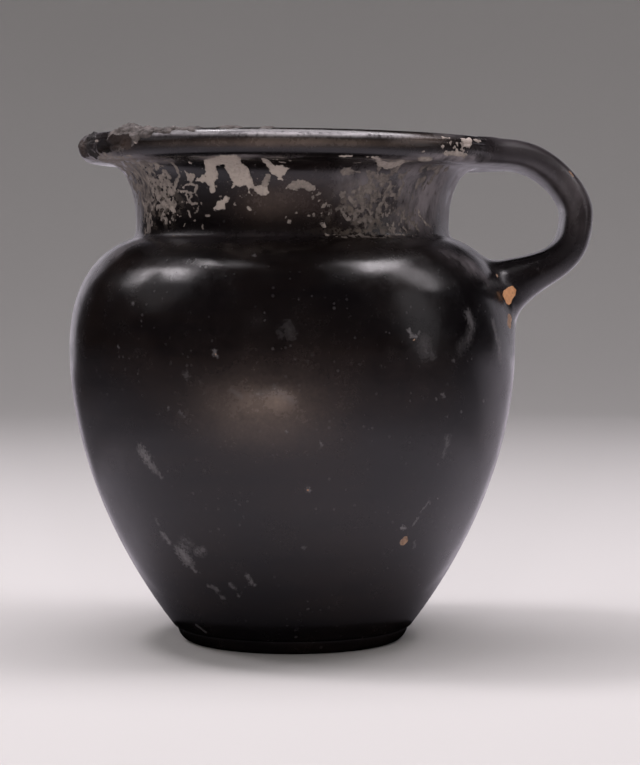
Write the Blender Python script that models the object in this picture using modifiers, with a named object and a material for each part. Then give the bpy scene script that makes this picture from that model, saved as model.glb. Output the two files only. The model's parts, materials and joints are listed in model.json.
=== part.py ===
"""A squat black-gloss olpe: a wheel-thrown jug with a wide mouth, a rolled lip and one high strap handle.

The body, foot, lip and handle are one fired piece of clay. Z is the axis of the wheel, with Z = 0 at the
resting surface, and the handle stands over +X. The lip keeps its old damage: a spall on one side, with a
hump of hard crust beside it.
"""

from math import cos, pi, radians, sin, sqrt

import bmesh
import bpy
import numpy as np
from mathutils import Matrix, Vector

MM = 0.001

# Zones of the outside, stacked from the resting surface up
FOOT_HEIGHT = 3.5 * MM
BODY_HEIGHT = 61.1 * MM
SHOULDER_HEIGHT = 23.7 * MM
CREASE_HEIGHT = 2.9 * MM
NECK_HEIGHT = 13.0 * MM
LIP_HEIGHT = 5.9 * MM

# Outside radii of those zones
FOOT_RADIUS = 25.5 * MM
FOOT_ROUND = 3.0 * MM
FOOT_GROOVE = 0.3 * MM
BODY_BASE_RADIUS = 26.4 * MM
BELLY_RADIUS = 49.0 * MM
CREASE_RADIUS = 35.5 * MM
NECK_RADIUS = 34.4 * MM
LIP_RADIUS = 46.9 * MM

# Slopes of the outside and of the handle where it leaves the lip, in degrees above the level
BODY_BASE_SLOPE = 52.8
CREASE_SLOPE = -19.6
FLARE_SLOPE = 8.5
HANDLE_SLOPE = 13.0

# The rolled lip, and how far its underside runs out from its rounded edge
LIP_TOP_ROUND = 2.3 * MM
LIP_UNDER_ROUND = 3.3 * MM
LIP_OVERHANG = 6.4 * MM

# The clay
WALL = 3.6 * MM
FLOOR = 5.0 * MM
FLOOR_ROUND = 7.5 * MM

# How far the mouth has sunk towards the handle: a slope of its plane
MOUTH_SAG = 0.013

# The handle: a strap of oval section from the lip over to the shoulder
HANDLE_THICKNESS = 6.4 * MM
HANDLE_BEND_THICKNESS = 7.0 * MM
HANDLE_WIDTH = 18.0 * MM
HANDLE_REACH = 15.5 * MM
HANDLE_BEND_DROP = 16.1 * MM
LIP_SPREAD = 44.0 * MM
ROOT_DROP = 13.6 * MM
ROOT_HEIGHT = 21.0 * MM
ROOT_SPREAD = 29.0 * MM

# Damage on the lip, placed round the axis from the handle, in degrees
SPALL_TURN = 220.0
SPALL_LENGTH = 16.0 * MM
SPALL_HEIGHT = 6.2 * MM
SPALL_DEPTH = 2.8 * MM
CRUST_TURN = 222.5
CRUST_LENGTH = 13.5 * MM
CRUST_RISE = 1.5 * MM
CRUST_SPREAD = 5.6 * MM

# Fineness of the faceted solid
TURNS = 60
HANDLE_SIDES = 16

BODY_TOP = FOOT_HEIGHT + BODY_HEIGHT
CREASE_BOTTOM = BODY_TOP + SHOULDER_HEIGHT
NECK_BOTTOM = CREASE_BOTTOM + CREASE_HEIGHT
LIP_BOTTOM = NECK_BOTTOM + NECK_HEIGHT
LIP_TOP = LIP_BOTTOM + LIP_HEIGHT


def clear_scene():
    for obj in list(bpy.data.objects):
        bpy.data.objects.remove(obj, do_unlink=True)


def new_collection(name):
    collection = bpy.data.collections.new(name)
    bpy.context.scene.collection.children.link(collection)
    return collection


def new_material(name, colour, roughness):
    material = bpy.data.materials.new(name)
    material.use_nodes = True
    shader = material.node_tree.nodes["Principled BSDF"]
    shader.inputs["Base Color"].default_value = (*colour, 1.0)
    shader.inputs["Roughness"].default_value = roughness
    shader.inputs["Metallic"].default_value = 0.0
    return material


def add_object(name, mesh, collection):
    obj = bpy.data.objects.new(name, mesh)
    collection.objects.link(obj)
    return obj


def mark_as_helper(obj):
    obj.hide_render = True
    obj.display_type = "WIRE"


def direction(angle):
    return np.array([cos(radians(angle)), sin(radians(angle))])


def cubic(start, start_angle, start_pull, end, end_angle, end_pull, steps):
    """Points of a cubic curve from start to end.

    The angles are the directions of travel in degrees, and the pulls are shares of the straight distance.
    """
    start, end = np.array(start), np.array(end)
    distance = np.linalg.norm(end - start)
    leave = start + start_pull * distance * direction(start_angle)
    arrive = end - end_pull * distance * direction(end_angle)
    t = np.linspace(0.0, 1.0, steps + 1)[:, None]
    return (1 - t) ** 3 * start + 3 * t * (1 - t) ** 2 * leave + 3 * t * t * (1 - t) * arrive + t**3 * end


def arc(centre, radius, first_angle, last_angle, steps):
    angles = np.radians(np.linspace(first_angle, last_angle, steps + 1))
    return np.array(centre) + radius * np.stack([np.cos(angles), np.sin(angles)], axis=1)


def outer_wall():
    """The outside from the top of the foot up to the lip's underside, as (radius, height) points."""
    belly = (BELLY_RADIUS, BODY_TOP)
    crease = (CREASE_RADIUS, CREASE_BOTTOM)
    neck = (NECK_RADIUS, NECK_BOTTOM)
    flare = (LIP_RADIUS - LIP_OVERHANG, LIP_BOTTOM)
    body = cubic((BODY_BASE_RADIUS, FOOT_HEIGHT), BODY_BASE_SLOPE, 0.34, belly, 90, 0.33, 10)
    shoulder = cubic(belly, 90, 0.45, crease, 180 + CREASE_SLOPE, 0.34, 8)
    corner = cubic(crease, 180 + CREASE_SLOPE, 0.28, neck, 90, 0.47, 3)
    rise = cubic(neck, 90, 0.52, flare, FLARE_SLOPE, 0.27, 7)
    return np.vstack([body, shoulder[1:], corner[1:], rise[1:]])


def inner_wall(outside):
    """The same line moved inwards by the wall, from above the floor up to the mouth."""
    travel = np.gradient(outside, axis=0)
    travel /= np.linalg.norm(travel, axis=1)[:, None]
    inwards = np.stack([-travel[:, 1], travel[:, 0]], axis=1)
    inside = (outside + WALL * inwards)[::-2][::-1]
    return inside[inside[:, 1] > FLOOR + FLOOR_ROUND]


def floor_line(first_wall_point, second_wall_point):
    """The inside from the middle of the floor round to the first point of the wall."""
    rise = second_wall_point - first_wall_point
    slope = np.degrees(np.arctan2(rise[1], rise[0]))
    edge = (first_wall_point[0] - FLOOR_ROUND, FLOOR)
    turn = cubic(edge, 0, 0.3, first_wall_point, slope, 0.3, 5)
    return np.vstack([(0.0, FLOOR), turn[:-1]])


def lip_line():
    """The rolled lip, from its underside out, up and over to the slope of the mouth."""
    under_round = min(LIP_UNDER_ROUND, LIP_HEIGHT - LIP_TOP_ROUND)
    under = (LIP_RADIUS - under_round, LIP_BOTTOM + under_round)
    over = (LIP_RADIUS - LIP_TOP_ROUND, LIP_TOP - LIP_TOP_ROUND)
    return np.vstack([arc(under, under_round, -75, 0, 4), arc(over, LIP_TOP_ROUND, 8, 128, 6)])


def foot_line():
    """The edge of the low foot, from the groove above it down to the resting surface."""
    groove = (FOOT_RADIUS - FOOT_GROOVE, FOOT_HEIGHT - FOOT_GROOVE)
    edge = (FOOT_RADIUS, min(FOOT_ROUND, FOOT_HEIGHT - 1.5 * FOOT_GROOVE))
    rest = (FOOT_RADIUS - FOOT_ROUND, 0.0)
    return np.vstack([groove, cubic(edge, -95, 0.35, rest, 180, 0.42, 4)])


def turned_object(name, line, collection):
    """A profile line turned once round the wheel's axis."""
    mesh = bpy.data.meshes.new(name)
    points = [(radius, 0.0, height) for radius, height in line]
    mesh.from_pydata(points, [(i, i + 1) for i in range(len(points) - 1)], [])
    obj = add_object(name, mesh, collection)
    screw = obj.modifiers.new("turn on the wheel", "SCREW")
    screw.axis = "Z"
    screw.angle = 2 * pi
    screw.steps = TURNS
    screw.render_steps = TURNS
    screw.use_merge_vertices = True
    screw.merge_threshold = 0.00001
    return obj


def thrown_body(outside, collection):
    inside = inner_wall(outside)
    line = np.vstack(
        [
            floor_line(inside[0], inside[1]),
            inside,
            lip_line()[::-1],
            outside[::-1],
            foot_line(),
            (0.0, 0.0),
        ]
    )
    return turned_object("olpe", line, collection)


def wall_middle(outside, height):
    """The radius halfway through the wall at that height."""
    return np.interp(height, outside[:, 1], outside[:, 0]) - WALL / 2


def handle_line(outside):
    """The middle line of the handle in the XZ plane, from inside the lip to inside the shoulder's wall."""
    lip_seat = (LIP_RADIUS - LIP_TOP_ROUND, LIP_TOP - HANDLE_THICKNESS / 2)
    bend = (LIP_RADIUS + HANDLE_REACH, LIP_TOP - HANDLE_BEND_DROP)
    root_height = CREASE_BOTTOM - ROOT_DROP
    root = (wall_middle(outside, root_height), root_height)
    over = cubic(lip_seat, HANDLE_SLOPE, 0.44, bend, -90, 0.23, 8)
    under = cubic(bend, -90, 0.5, root, 222, 0.46, 11)
    return over, under


def swell(share, power):
    return max(0.0, share) ** power


def handle_rings(outside):
    """Oval rings along the handle. The end rings follow the lip and the wall that they are luted into."""
    over, under = handle_line(outside)
    line = np.vstack([over, under[1:]])
    travel = np.gradient(line, axis=0)
    travel /= np.linalg.norm(travel, axis=1)[:, None]
    rings = []
    for index, (centre, along) in enumerate(zip(line, travel)):
        if index < len(over):
            share = index / (len(over) - 1)
            thickness = HANDLE_THICKNESS + (HANDLE_BEND_THICKNESS - HANDLE_THICKNESS) * share
            at_lip, at_root = swell(1 - 1.6 * share, 2.0), 0.0
        else:
            share = (index - len(over) + 1) / (len(under) - 1)
            thickness = HANDLE_BEND_THICKNESS + (ROOT_HEIGHT - HANDLE_BEND_THICKNESS) * swell(share, 4.5)
            at_lip, at_root = 0.0, swell(share, 4)
        width = HANDLE_WIDTH + (LIP_SPREAD - HANDLE_WIDTH) * at_lip + (ROOT_SPREAD - HANDLE_WIDTH) * at_root
        rings.append([
            ring_point(outside, centre, along, thickness, width, at_lip, at_root, 2 * pi * side / HANDLE_SIDES)
            for side in range(HANDLE_SIDES)
        ])
    return rings


def ring_point(outside, centre, along, thickness, width, at_lip, at_root, angle):
    across = width / 2 * cos(angle)
    out = thickness / 2 * sin(angle)
    x = centre[0] - along[1] * out
    z = centre[1] + along[0] * out
    x -= at_lip * (LIP_RADIUS - sqrt(LIP_RADIUS**2 - across**2))
    x += at_root * (sqrt(wall_middle(outside, z) ** 2 - across**2) - x)
    return Vector((x, across, z))


def handle_object(outside, collection):
    """The loft through the rings, closed at both ends."""
    bm = bmesh.new()
    loops = [[bm.verts.new(point) for point in ring] for ring in handle_rings(outside)]
    for near, far in zip(loops, loops[1:]):
        for side in range(HANDLE_SIDES):
            following = (side + 1) % HANDLE_SIDES
            bm.faces.new((near[side], near[following], far[following], far[side]))
    bm.faces.new(loops[0])
    bm.faces.new(reversed(loops[-1]))
    bmesh.ops.triangulate(bm, faces=[face for face in bm.faces if len(face.verts) > 4])
    bmesh.ops.recalc_face_normals(bm, faces=bm.faces)
    mesh = bpy.data.meshes.new("handle")
    bm.to_mesh(mesh)
    bm.free()
    return add_object("handle", mesh, collection)


def lump_object(name, turn, radius, height, size, collection):
    """A rounded lump on the lip: size is its length along the lip, its depth and its height."""
    bm = bmesh.new()
    bmesh.ops.create_icosphere(bm, subdivisions=2, radius=0.5)
    place = (
        Matrix.Rotation(radians(turn), 4, "Z")
        @ Matrix.Translation((radius, 0.0, height))
        @ Matrix.Diagonal((size[1], size[0], size[2], 1.0))
    )
    bmesh.ops.transform(bm, matrix=place, verts=bm.verts)
    mesh = bpy.data.meshes.new(name)
    bm.to_mesh(mesh)
    bm.free()
    return add_object(name, mesh, collection)


def crust_object(collection):
    """The hump of crust on the crown of the lip."""
    crown = LIP_RADIUS - LIP_TOP_ROUND
    size = (CRUST_LENGTH, CRUST_SPREAD, 4 * CRUST_RISE)
    return lump_object("crust", CRUST_TURN, crown, LIP_TOP - CRUST_RISE, size, collection)


def spall_object(collection):
    """What has broken away from the outer face of the lip."""
    size = (SPALL_LENGTH, 4 * SPALL_DEPTH, SPALL_HEIGHT)
    middle = LIP_TOP - 0.42 * LIP_HEIGHT
    return lump_object("spall", SPALL_TURN, LIP_RADIUS + SPALL_DEPTH, middle, size, collection)


def join(target, tool, operation):
    boolean = target.modifiers.new(tool.name, "BOOLEAN")
    boolean.object = tool
    boolean.operation = operation
    boolean.solver = "EXACT"
    mark_as_helper(tool)


def let_mouth_sag(mesh):
    """Tips the mouth towards the handle, by nothing at the crease and by its full slope at the lip."""
    for vertex in mesh.vertices:
        share = (vertex.co.z - CREASE_BOTTOM) / (LIP_BOTTOM - CREASE_BOTTOM)
        reach = min(vertex.co.x, LIP_RADIUS)
        vertex.co.z -= MOUTH_SAG * reach * min(1.0, max(0.0, share))


def fired_piece(green, collection, material):
    """The finished vessel as one mesh, from the green clay with all that is joined to it and lost from it."""
    bpy.context.view_layer.update()
    graph = bpy.context.evaluated_depsgraph_get()
    mesh = bpy.data.meshes.new_from_object(green.evaluated_get(graph))
    name = green.name
    green.name = "thrown_body"
    mark_as_helper(green)
    let_mouth_sag(mesh)
    mesh.name = name
    mesh.materials.clear()
    mesh.materials.append(material)
    mesh.shade_smooth()
    mesh.set_sharp_from_angle(angle=radians(40))
    return add_object(name, mesh, collection)


def main():
    clear_scene()
    olpe = new_collection("olpe")
    helpers = new_collection("helpers")
    black_gloss = new_material("black_gloss", (0.014, 0.012, 0.013), 0.3)
    outside = outer_wall()
    body = thrown_body(outside, helpers)
    join(body, handle_object(outside, helpers), "UNION")
    join(body, crust_object(helpers), "UNION")
    join(body, spall_object(helpers), "DIFFERENCE")
    fired_piece(body, olpe, black_gloss)


main()
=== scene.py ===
"""A squat black-gloss olpe on a pale studio floor.

The vessel is turned, its strap handle is luted on, and the old damage, the crust and the lime on it are
modelled as they lie. Lengths are metres, angles are degrees, and a turn is measured round the wheel's axis
from the handle.
"""

import json
import logging
from dataclasses import dataclass
from enum import Enum
from math import cos, pi, radians, sin, sqrt
from typing import Callable, Sequence

import bmesh
import bpy
import numpy as np
from mathutils import Matrix, Vector, noise
from mathutils.bvhtree import BVHTree
from mathutils.kdtree import KDTree

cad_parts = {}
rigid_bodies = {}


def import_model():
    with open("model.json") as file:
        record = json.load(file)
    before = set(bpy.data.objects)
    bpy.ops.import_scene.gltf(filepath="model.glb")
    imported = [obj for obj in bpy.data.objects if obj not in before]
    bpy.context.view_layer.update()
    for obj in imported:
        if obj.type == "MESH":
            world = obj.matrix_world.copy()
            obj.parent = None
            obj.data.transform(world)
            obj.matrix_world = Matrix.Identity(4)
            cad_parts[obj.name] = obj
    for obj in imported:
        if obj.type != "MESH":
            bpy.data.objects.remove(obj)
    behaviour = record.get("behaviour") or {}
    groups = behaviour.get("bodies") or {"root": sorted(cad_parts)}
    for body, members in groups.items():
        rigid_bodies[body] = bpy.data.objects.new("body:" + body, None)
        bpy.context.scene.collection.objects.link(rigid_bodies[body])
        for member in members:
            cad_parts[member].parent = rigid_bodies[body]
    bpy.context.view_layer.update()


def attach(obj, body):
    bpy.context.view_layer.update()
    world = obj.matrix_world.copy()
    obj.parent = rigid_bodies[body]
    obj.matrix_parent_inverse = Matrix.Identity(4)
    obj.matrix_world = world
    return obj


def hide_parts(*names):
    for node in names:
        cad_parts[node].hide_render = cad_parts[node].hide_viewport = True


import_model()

MM = 0.001
DOUBLES = 0.002 * MM
SMOOTH_BELOW = 38.0
LOG = logging.getLogger("olpe")


class Coat(Enum):
    """What a face of the vessel is made of, in the order of its material slots."""

    GLOSS = 0
    CLAY = 1
    BREAK = 2
    CRUST = 3
    DUSTY = 4


class StainAndSheen(Enum):
    """A soft-edged change of the gloss, each with its own attribute on the mesh: real stains and wear, and painted
    highlight and sheen.
    """

    FILM = "film"
    SOIL = "soil"
    BROWN = "brown"
    # worn gloss, and painted warm sheen on the belly front
    WORN_AND_SHEEN = "worn"
    DULL = "dull"
    # painted highlight along the lip's crown
    RIM_HIGHLIGHT = "rim"
    # grey haze, and painted sheen on the strap and at the crease
    HAZE_AND_SHEEN = "haze"


# ---------------------------------------------------------------- lines


def heading(angle: float) -> np.ndarray:
    """The unit vector at that angle in a profile's plane."""
    return np.array([cos(radians(angle)), sin(radians(angle))])


def cubic(start: Sequence[float], start_angle: float, start_pull: float,
          end: Sequence[float], end_angle: float, end_pull: float, steps: int) -> np.ndarray:
    """A cubic curve between two points.

    Args:
        start: the first point.
        start_angle: the direction of travel there, in degrees.
        start_pull: how far it is kept, as a share of the straight distance.
        end: the last point.
        end_angle: the direction of travel there.
        end_pull: how long before the end it is taken up.
        steps: the number of pieces.

    Returns:
        The points, one row each.
    """
    first, last = np.array(start), np.array(end)
    distance = np.linalg.norm(last - first)
    leave = first + start_pull * distance * heading(start_angle)
    arrive = last - end_pull * distance * heading(end_angle)
    t = np.linspace(0.0, 1.0, steps + 1)[:, None]
    return (1 - t) ** 3 * first + 3 * t * (1 - t) ** 2 * leave + 3 * t * t * (1 - t) * arrive + t**3 * last


def arc(centre: Sequence[float], radius: float, first: float, last: float, steps: int) -> np.ndarray:
    """Points on an arc.

    Args:
        centre: the middle of the circle.
        radius: its radius.
        first: the angle of the first point, in degrees.
        last: the angle of the last point.
        steps: the number of pieces.

    Returns:
        The points, one row each.
    """
    angles = np.radians(np.linspace(first, last, steps + 1))
    return np.array(centre) + radius * np.stack([np.cos(angles), np.sin(angles)], axis=1)


def on_circle(radius: float, turn: float, height: float) -> Vector:
    """The point at that turn on a level circle round the axis."""
    return Vector((radius * cos(radians(turn)), radius * sin(radians(turn)), height))


def facing(turn: float, rise: float) -> Vector:
    """The unit vector that looks outwards at that turn and rise."""
    level = cos(radians(rise))
    return Vector((level * cos(radians(turn)), level * sin(radians(turn)), sin(radians(rise))))


def fall_off(distance: np.ndarray, inner: float, outer: float) -> np.ndarray:
    """1 up to the inner distance, 0 from the outer one on, and a smooth step between."""
    t = np.clip((outer - distance) / (outer - inner), 0.0, 1.0)
    return t * t * (3 - 2 * t)


def rough(points: np.ndarray, grain: float, seed: float = 0.0, octaves: int = 2) -> np.ndarray:
    """Even noise between about -1 and 1.

    Args:
        points: positions, one row each.
        grain: the size of the noise's lumps.
        seed: a shift that gives another pattern.
        octaves: how many finer layers it holds.

    Returns:
        One value a point.
    """
    total = np.zeros(len(points))
    shift = Vector((seed, 2.3 * seed, 4.1 * seed))
    for octave in range(octaves):
        scale = 2.0**octave / grain
        total += np.array([noise.noise(Vector(p) * scale + shift) for p in points]) / 2.0**octave
    return total


# ---------------------------------------------------------------- modelling by hand


def deselect_all() -> None:
    """Leaves object mode with nothing selected."""
    if bpy.context.mode != "OBJECT":
        bpy.ops.object.mode_set(mode="OBJECT")
    bpy.ops.object.select_all(action="DESELECT")


def make_active(obj: bpy.types.Object) -> None:
    """Selects one object alone and makes it active."""
    deselect_all()
    obj.select_set(True)
    bpy.context.view_layer.objects.active = obj


def begin_edit(obj: bpy.types.Object, mode: str = "VERT") -> bmesh.types.BMesh:
    """Opens a mesh in edit mode.

    Args:
        obj: the mesh object.
        mode: VERT, EDGE or FACE.

    Returns:
        Its edit mesh.
    """
    make_active(obj)
    bpy.ops.object.mode_set(mode="EDIT")
    bpy.ops.mesh.select_mode(type=mode)
    return bmesh.from_edit_mesh(obj.data)


def end_edit() -> None:
    """Closes edit mode."""
    bpy.ops.object.mode_set(mode="OBJECT")


def pick(obj: bpy.types.Object, chosen: Callable[[bmesh.types.BMFace], bool]) -> None:
    """Selects the faces of the edited mesh that fit, and no others."""
    mesh = bmesh.from_edit_mesh(obj.data)
    bpy.ops.mesh.select_all(action="DESELECT")
    for face in mesh.faces:
        if chosen(face):
            face.select_set(True)
    bmesh.update_edit_mesh(obj.data)


def points_of(obj: bpy.types.Object) -> np.ndarray:
    """The places of a mesh's vertices, one row each."""
    flat = np.zeros(len(obj.data.vertices) * 3)
    obj.data.vertices.foreach_get("co", flat)
    return flat.reshape(-1, 3)


def set_points(obj: bpy.types.Object, points: np.ndarray) -> None:
    """Moves a mesh's vertices to those places."""
    obj.data.vertices.foreach_set("co", points.ravel())
    obj.data.update()


def normals_of(obj: bpy.types.Object) -> np.ndarray:
    """The normals of a mesh's vertices, one row each."""
    flat = np.zeros(len(obj.data.vertices) * 3)
    obj.data.vertex_normals.foreach_get("vector", flat)
    return flat.reshape(-1, 3)


def surface_of(obj: bpy.types.Object) -> BVHTree:
    """A mesh's surface, to look up the nearest place on it."""
    return BVHTree.FromPolygons([v.co for v in obj.data.vertices], [p.vertices[:] for p in obj.data.polygons])


def write_values(obj: bpy.types.Object, name: str, values: np.ndarray) -> None:
    """Writes one number a vertex to an attribute of that name."""
    attribute = obj.data.attributes.new(name, "FLOAT", "POINT")
    attribute.data.foreach_set("value", values.astype(np.float32))


def settle(obj: bpy.types.Object) -> None:
    """Merges a closed mesh's doubles and turns its faces outwards."""
    begin_edit(obj)
    bpy.ops.mesh.select_all(action="SELECT")
    bpy.ops.mesh.remove_doubles(threshold=DOUBLES)
    bpy.ops.mesh.normals_make_consistent(inside=False)
    end_edit()


def join(target: bpy.types.Object, tool: bpy.types.Object, operation: str) -> None:
    """Applies a Boolean modifier and removes its tool.

    Args:
        target: the mesh that stays.
        tool: the mesh that is joined to it or cut from it.
        operation: UNION or DIFFERENCE.
    """
    make_active(target)
    boolean = target.modifiers.new("joint", "BOOLEAN")
    boolean.operation = operation
    boolean.solver = "EXACT"
    boolean.object = tool
    bpy.ops.object.modifier_apply(modifier=boolean.name)
    bpy.data.objects.remove(tool, do_unlink=True)


def gather(pieces: Sequence[bpy.types.Object], name: str) -> bpy.types.Object:
    """Joins loose objects into one and names it."""
    deselect_all()
    for piece in pieces:
        piece.select_set(True)
    bpy.context.view_layer.objects.active = pieces[0]
    if len(pieces) > 1:
        bpy.ops.object.join()
    pieces[0].name = name
    return pieces[0]


def give_coats(obj: bpy.types.Object, materials: Sequence[bpy.types.Material], coat: Coat) -> None:
    """Gives a mesh every slot of the vessel, with one coat on all its faces."""
    obj.data.materials.clear()
    for material in materials:
        obj.data.materials.append(material)
    obj.data.polygons.foreach_set("material_index", [coat.value] * len(obj.data.polygons))
    obj.data.update()


# ---------------------------------------------------------------- the vessel


@dataclass
class Form:
    """The sizes of the thrown body, and its profile lines as (radius, height) points."""

    foot_height: float = 3.5 * MM
    body_height: float = 61.1 * MM
    shoulder_height: float = 23.7 * MM
    crease_height: float = 2.9 * MM
    neck_height: float = 13.0 * MM
    lip_height: float = 5.9 * MM
    foot_radius: float = 25.5 * MM
    foot_round: float = 3.0 * MM
    foot_groove: float = 0.3 * MM
    body_base_radius: float = 26.4 * MM
    belly_radius: float = 49.0 * MM
    crease_radius: float = 35.5 * MM
    neck_radius: float = 34.4 * MM
    lip_radius: float = 46.9 * MM
    lip_top_round: float = 2.3 * MM
    lip_under_round: float = 3.3 * MM
    lip_overhang: float = 6.4 * MM
    lip_groove: float = 0.22 * MM
    wall: float = 3.6 * MM
    floor: float = 5.0 * MM
    floor_round: float = 7.5 * MM
    mouth_sag: float = 0.013

    def __post_init__(self) -> None:
        """Adds up the zones and draws the outer line once."""
        self.body_top = self.foot_height + self.body_height
        self.crease_bottom = self.body_top + self.shoulder_height
        self.neck_bottom = self.crease_bottom + self.crease_height
        self.lip_bottom = self.neck_bottom + self.neck_height
        self.lip_top = self.lip_bottom + self.lip_height
        self.outside = self.outer_wall()
        self.reach = np.vstack([self.outside, self.lip_line()])
        steps = np.linalg.norm(np.diff(self.reach, axis=0), axis=1)
        self.climbs = np.concatenate([[0.0], np.cumsum(steps)])
        self.climbs -= np.interp(self.crease_bottom, self.outside[:, 1], self.climbs[: len(self.outside)])

    def outer_wall(self) -> np.ndarray:
        """The outside from the top of the foot up to the lip's underside."""
        belly = (self.belly_radius, self.body_top)
        crease = (self.crease_radius, self.crease_bottom)
        neck = (self.neck_radius, self.neck_bottom)
        flare = (self.lip_radius - self.lip_overhang, self.lip_bottom)
        body = cubic((self.body_base_radius, self.foot_height), 52.8, 0.34, belly, 90, 0.33, 46)
        shoulder = cubic(belly, 90, 0.45, crease, 160.4, 0.34, 34)
        corner = cubic(crease, 160.4, 0.28, neck, 90, 0.47, 9)
        rise = cubic(neck, 90, 0.52, flare, 8.5, 0.27, 24)
        return np.vstack([body, shoulder[1:], corner[1:], rise[1:]])

    def inner_wall(self) -> np.ndarray:
        """The outer line moved inwards by the wall, from above the floor up to the mouth."""
        travel = np.gradient(self.outside, axis=0)
        travel /= np.linalg.norm(travel, axis=1)[:, None]
        inwards = np.stack([-travel[:, 1], travel[:, 0]], axis=1)
        inside = (self.outside + self.wall * inwards)[::-3][::-1]
        return inside[inside[:, 1] > self.floor + self.floor_round]

    def lip_line(self) -> np.ndarray:
        """The rolled lip from its underside out, up and over, with the fine groove under its crown."""
        under = (self.lip_radius - self.lip_under_round, self.lip_bottom + self.lip_under_round)
        over = (self.lip_radius - self.lip_top_round, self.lip_top - self.lip_top_round)
        line = np.vstack([
            arc(under, self.lip_under_round, -75, 0, 14),
            arc(over, self.lip_top_round, 6, 128, 22),
        ])
        groove = self.lip_top - 0.83 * self.lip_top_round
        line[:, 0] -= self.lip_groove * np.exp(-((line[:, 1] - groove) / (0.28 * MM)) ** 2) * (line[:, 0] > over[0])
        return line

    def floor_line(self, inside: np.ndarray) -> np.ndarray:
        """The inside from the middle of the floor round to the wall."""
        rise = inside[1] - inside[0]
        slope = np.degrees(np.arctan2(rise[1], rise[0]))
        edge = (inside[0][0] - self.floor_round, self.floor)
        bend = cubic(edge, 0, 0.3, inside[0], slope, 0.3, 7)[:-1]
        return np.vstack([(0.0, self.floor), (edge[0] / 2, self.floor), bend])

    def foot_line(self) -> np.ndarray:
        """The edge of the low foot, from the groove above it down to the resting surface."""
        groove = (self.foot_radius - self.foot_groove, self.foot_height - self.foot_groove)
        edge = (self.foot_radius, self.foot_round)
        rest = (self.foot_radius - self.foot_round, 0.0)
        return np.vstack([groove, cubic(edge, -95, 0.35, rest, 180, 0.42, 9), (rest[0] / 2, 0.0)])

    def radius_at(self, height: float) -> float:
        """The outside radius of the body at that height."""
        return float(np.interp(height, self.outside[:, 1], self.outside[:, 0]))

    def wall_middle(self, height: float) -> float:
        """The radius halfway through the wall at that height."""
        return self.radius_at(height) - self.wall / 2

    def place(self, turn: float, height: float) -> Vector:
        """The point of the body's outside at that turn and height."""
        return on_circle(self.radius_at(height), turn, height)

    def sag(self, points: np.ndarray) -> np.ndarray:
        """The same points with the mouth tipped a little towards the handle."""
        share = np.clip((points[:, 2] - self.crease_bottom) / (self.lip_bottom - self.crease_bottom), 0.0, 1.0)
        sunk = points.copy()
        sunk[:, 2] -= self.mouth_sag * np.minimum(points[:, 0], self.lip_radius) * share
        return sunk


@dataclass
class ThrownBody:
    """The body, foot, neck and lip, turned in one piece."""

    form: Form
    turns: int = 256
    wobble: float = 0.12 * MM
    ring_depth: float = 0.025 * MM
    ring_pitch: float = 3.1 * MM

    def build(self) -> bpy.types.Object:
        """Turns the profile on the wheel's axis.

        Returns:
            The closed body, before the mouth sags.
        """
        inside = self.form.inner_wall()
        line = np.vstack([
            self.form.floor_line(inside), inside, self.form.lip_line()[::-1], self.form.outside[::-1],
            self.form.foot_line(), (0.0, 0.0),
        ])
        bpy.ops.mesh.primitive_plane_add(size=MM, location=(0.0, 0.0, 0.0))
        body = bpy.context.object
        body.name = "thrown_body"
        mesh = begin_edit(body)
        bpy.ops.mesh.select_all(action="SELECT")
        bpy.ops.mesh.merge(type="CENTER")
        mesh = bmesh.from_edit_mesh(body.data)
        mesh.verts.ensure_lookup_table()
        mesh.verts[0].co = (line[0][0], 0.0, line[0][1])
        for step in np.diff(line, axis=0):
            bpy.ops.mesh.extrude_region_move(TRANSFORM_OT_translate={"value": (step[0], 0.0, step[1])})
        bpy.ops.mesh.select_all(action="SELECT")
        bpy.ops.mesh.spin(steps=self.turns, angle=2 * pi, center=(0, 0, 0), axis=(0, 0, 1), use_auto_merge=True)
        end_edit()
        settle(body)
        self.throw(body)
        return body

    def throw(self, body: bpy.types.Object) -> None:
        """Gives the body the slight unevenness of the potter's hand."""
        points = points_of(body)
        radius = np.hypot(points[:, 0], points[:, 1])
        outward = np.where(radius[:, None] > 1e-6, points[:, :2] / np.maximum(radius, 1e-6)[:, None], 0.0)
        turn = np.arctan2(points[:, 1], points[:, 0])
        height = points[:, 2]
        slow = 0.5 * np.sin(2 * turn + 0.7 + height * 40) + 0.35 * np.sin(3 * turn + 2.1 - height * 60)
        rings = np.sin(2 * pi * height / self.ring_pitch + 0.6 * np.sin(turn + 9 * height))
        stands = np.clip(height / (6 * MM), 0.0, 1.0)
        move = stands * (self.wobble * slow + self.ring_depth * rings * (0.6 + 0.4 * np.sin(height * 310)))
        points[:, :2] += outward * np.minimum(move, 0.0)[:, None] * (radius > 8 * MM)[:, None]
        set_points(body, points)


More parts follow.
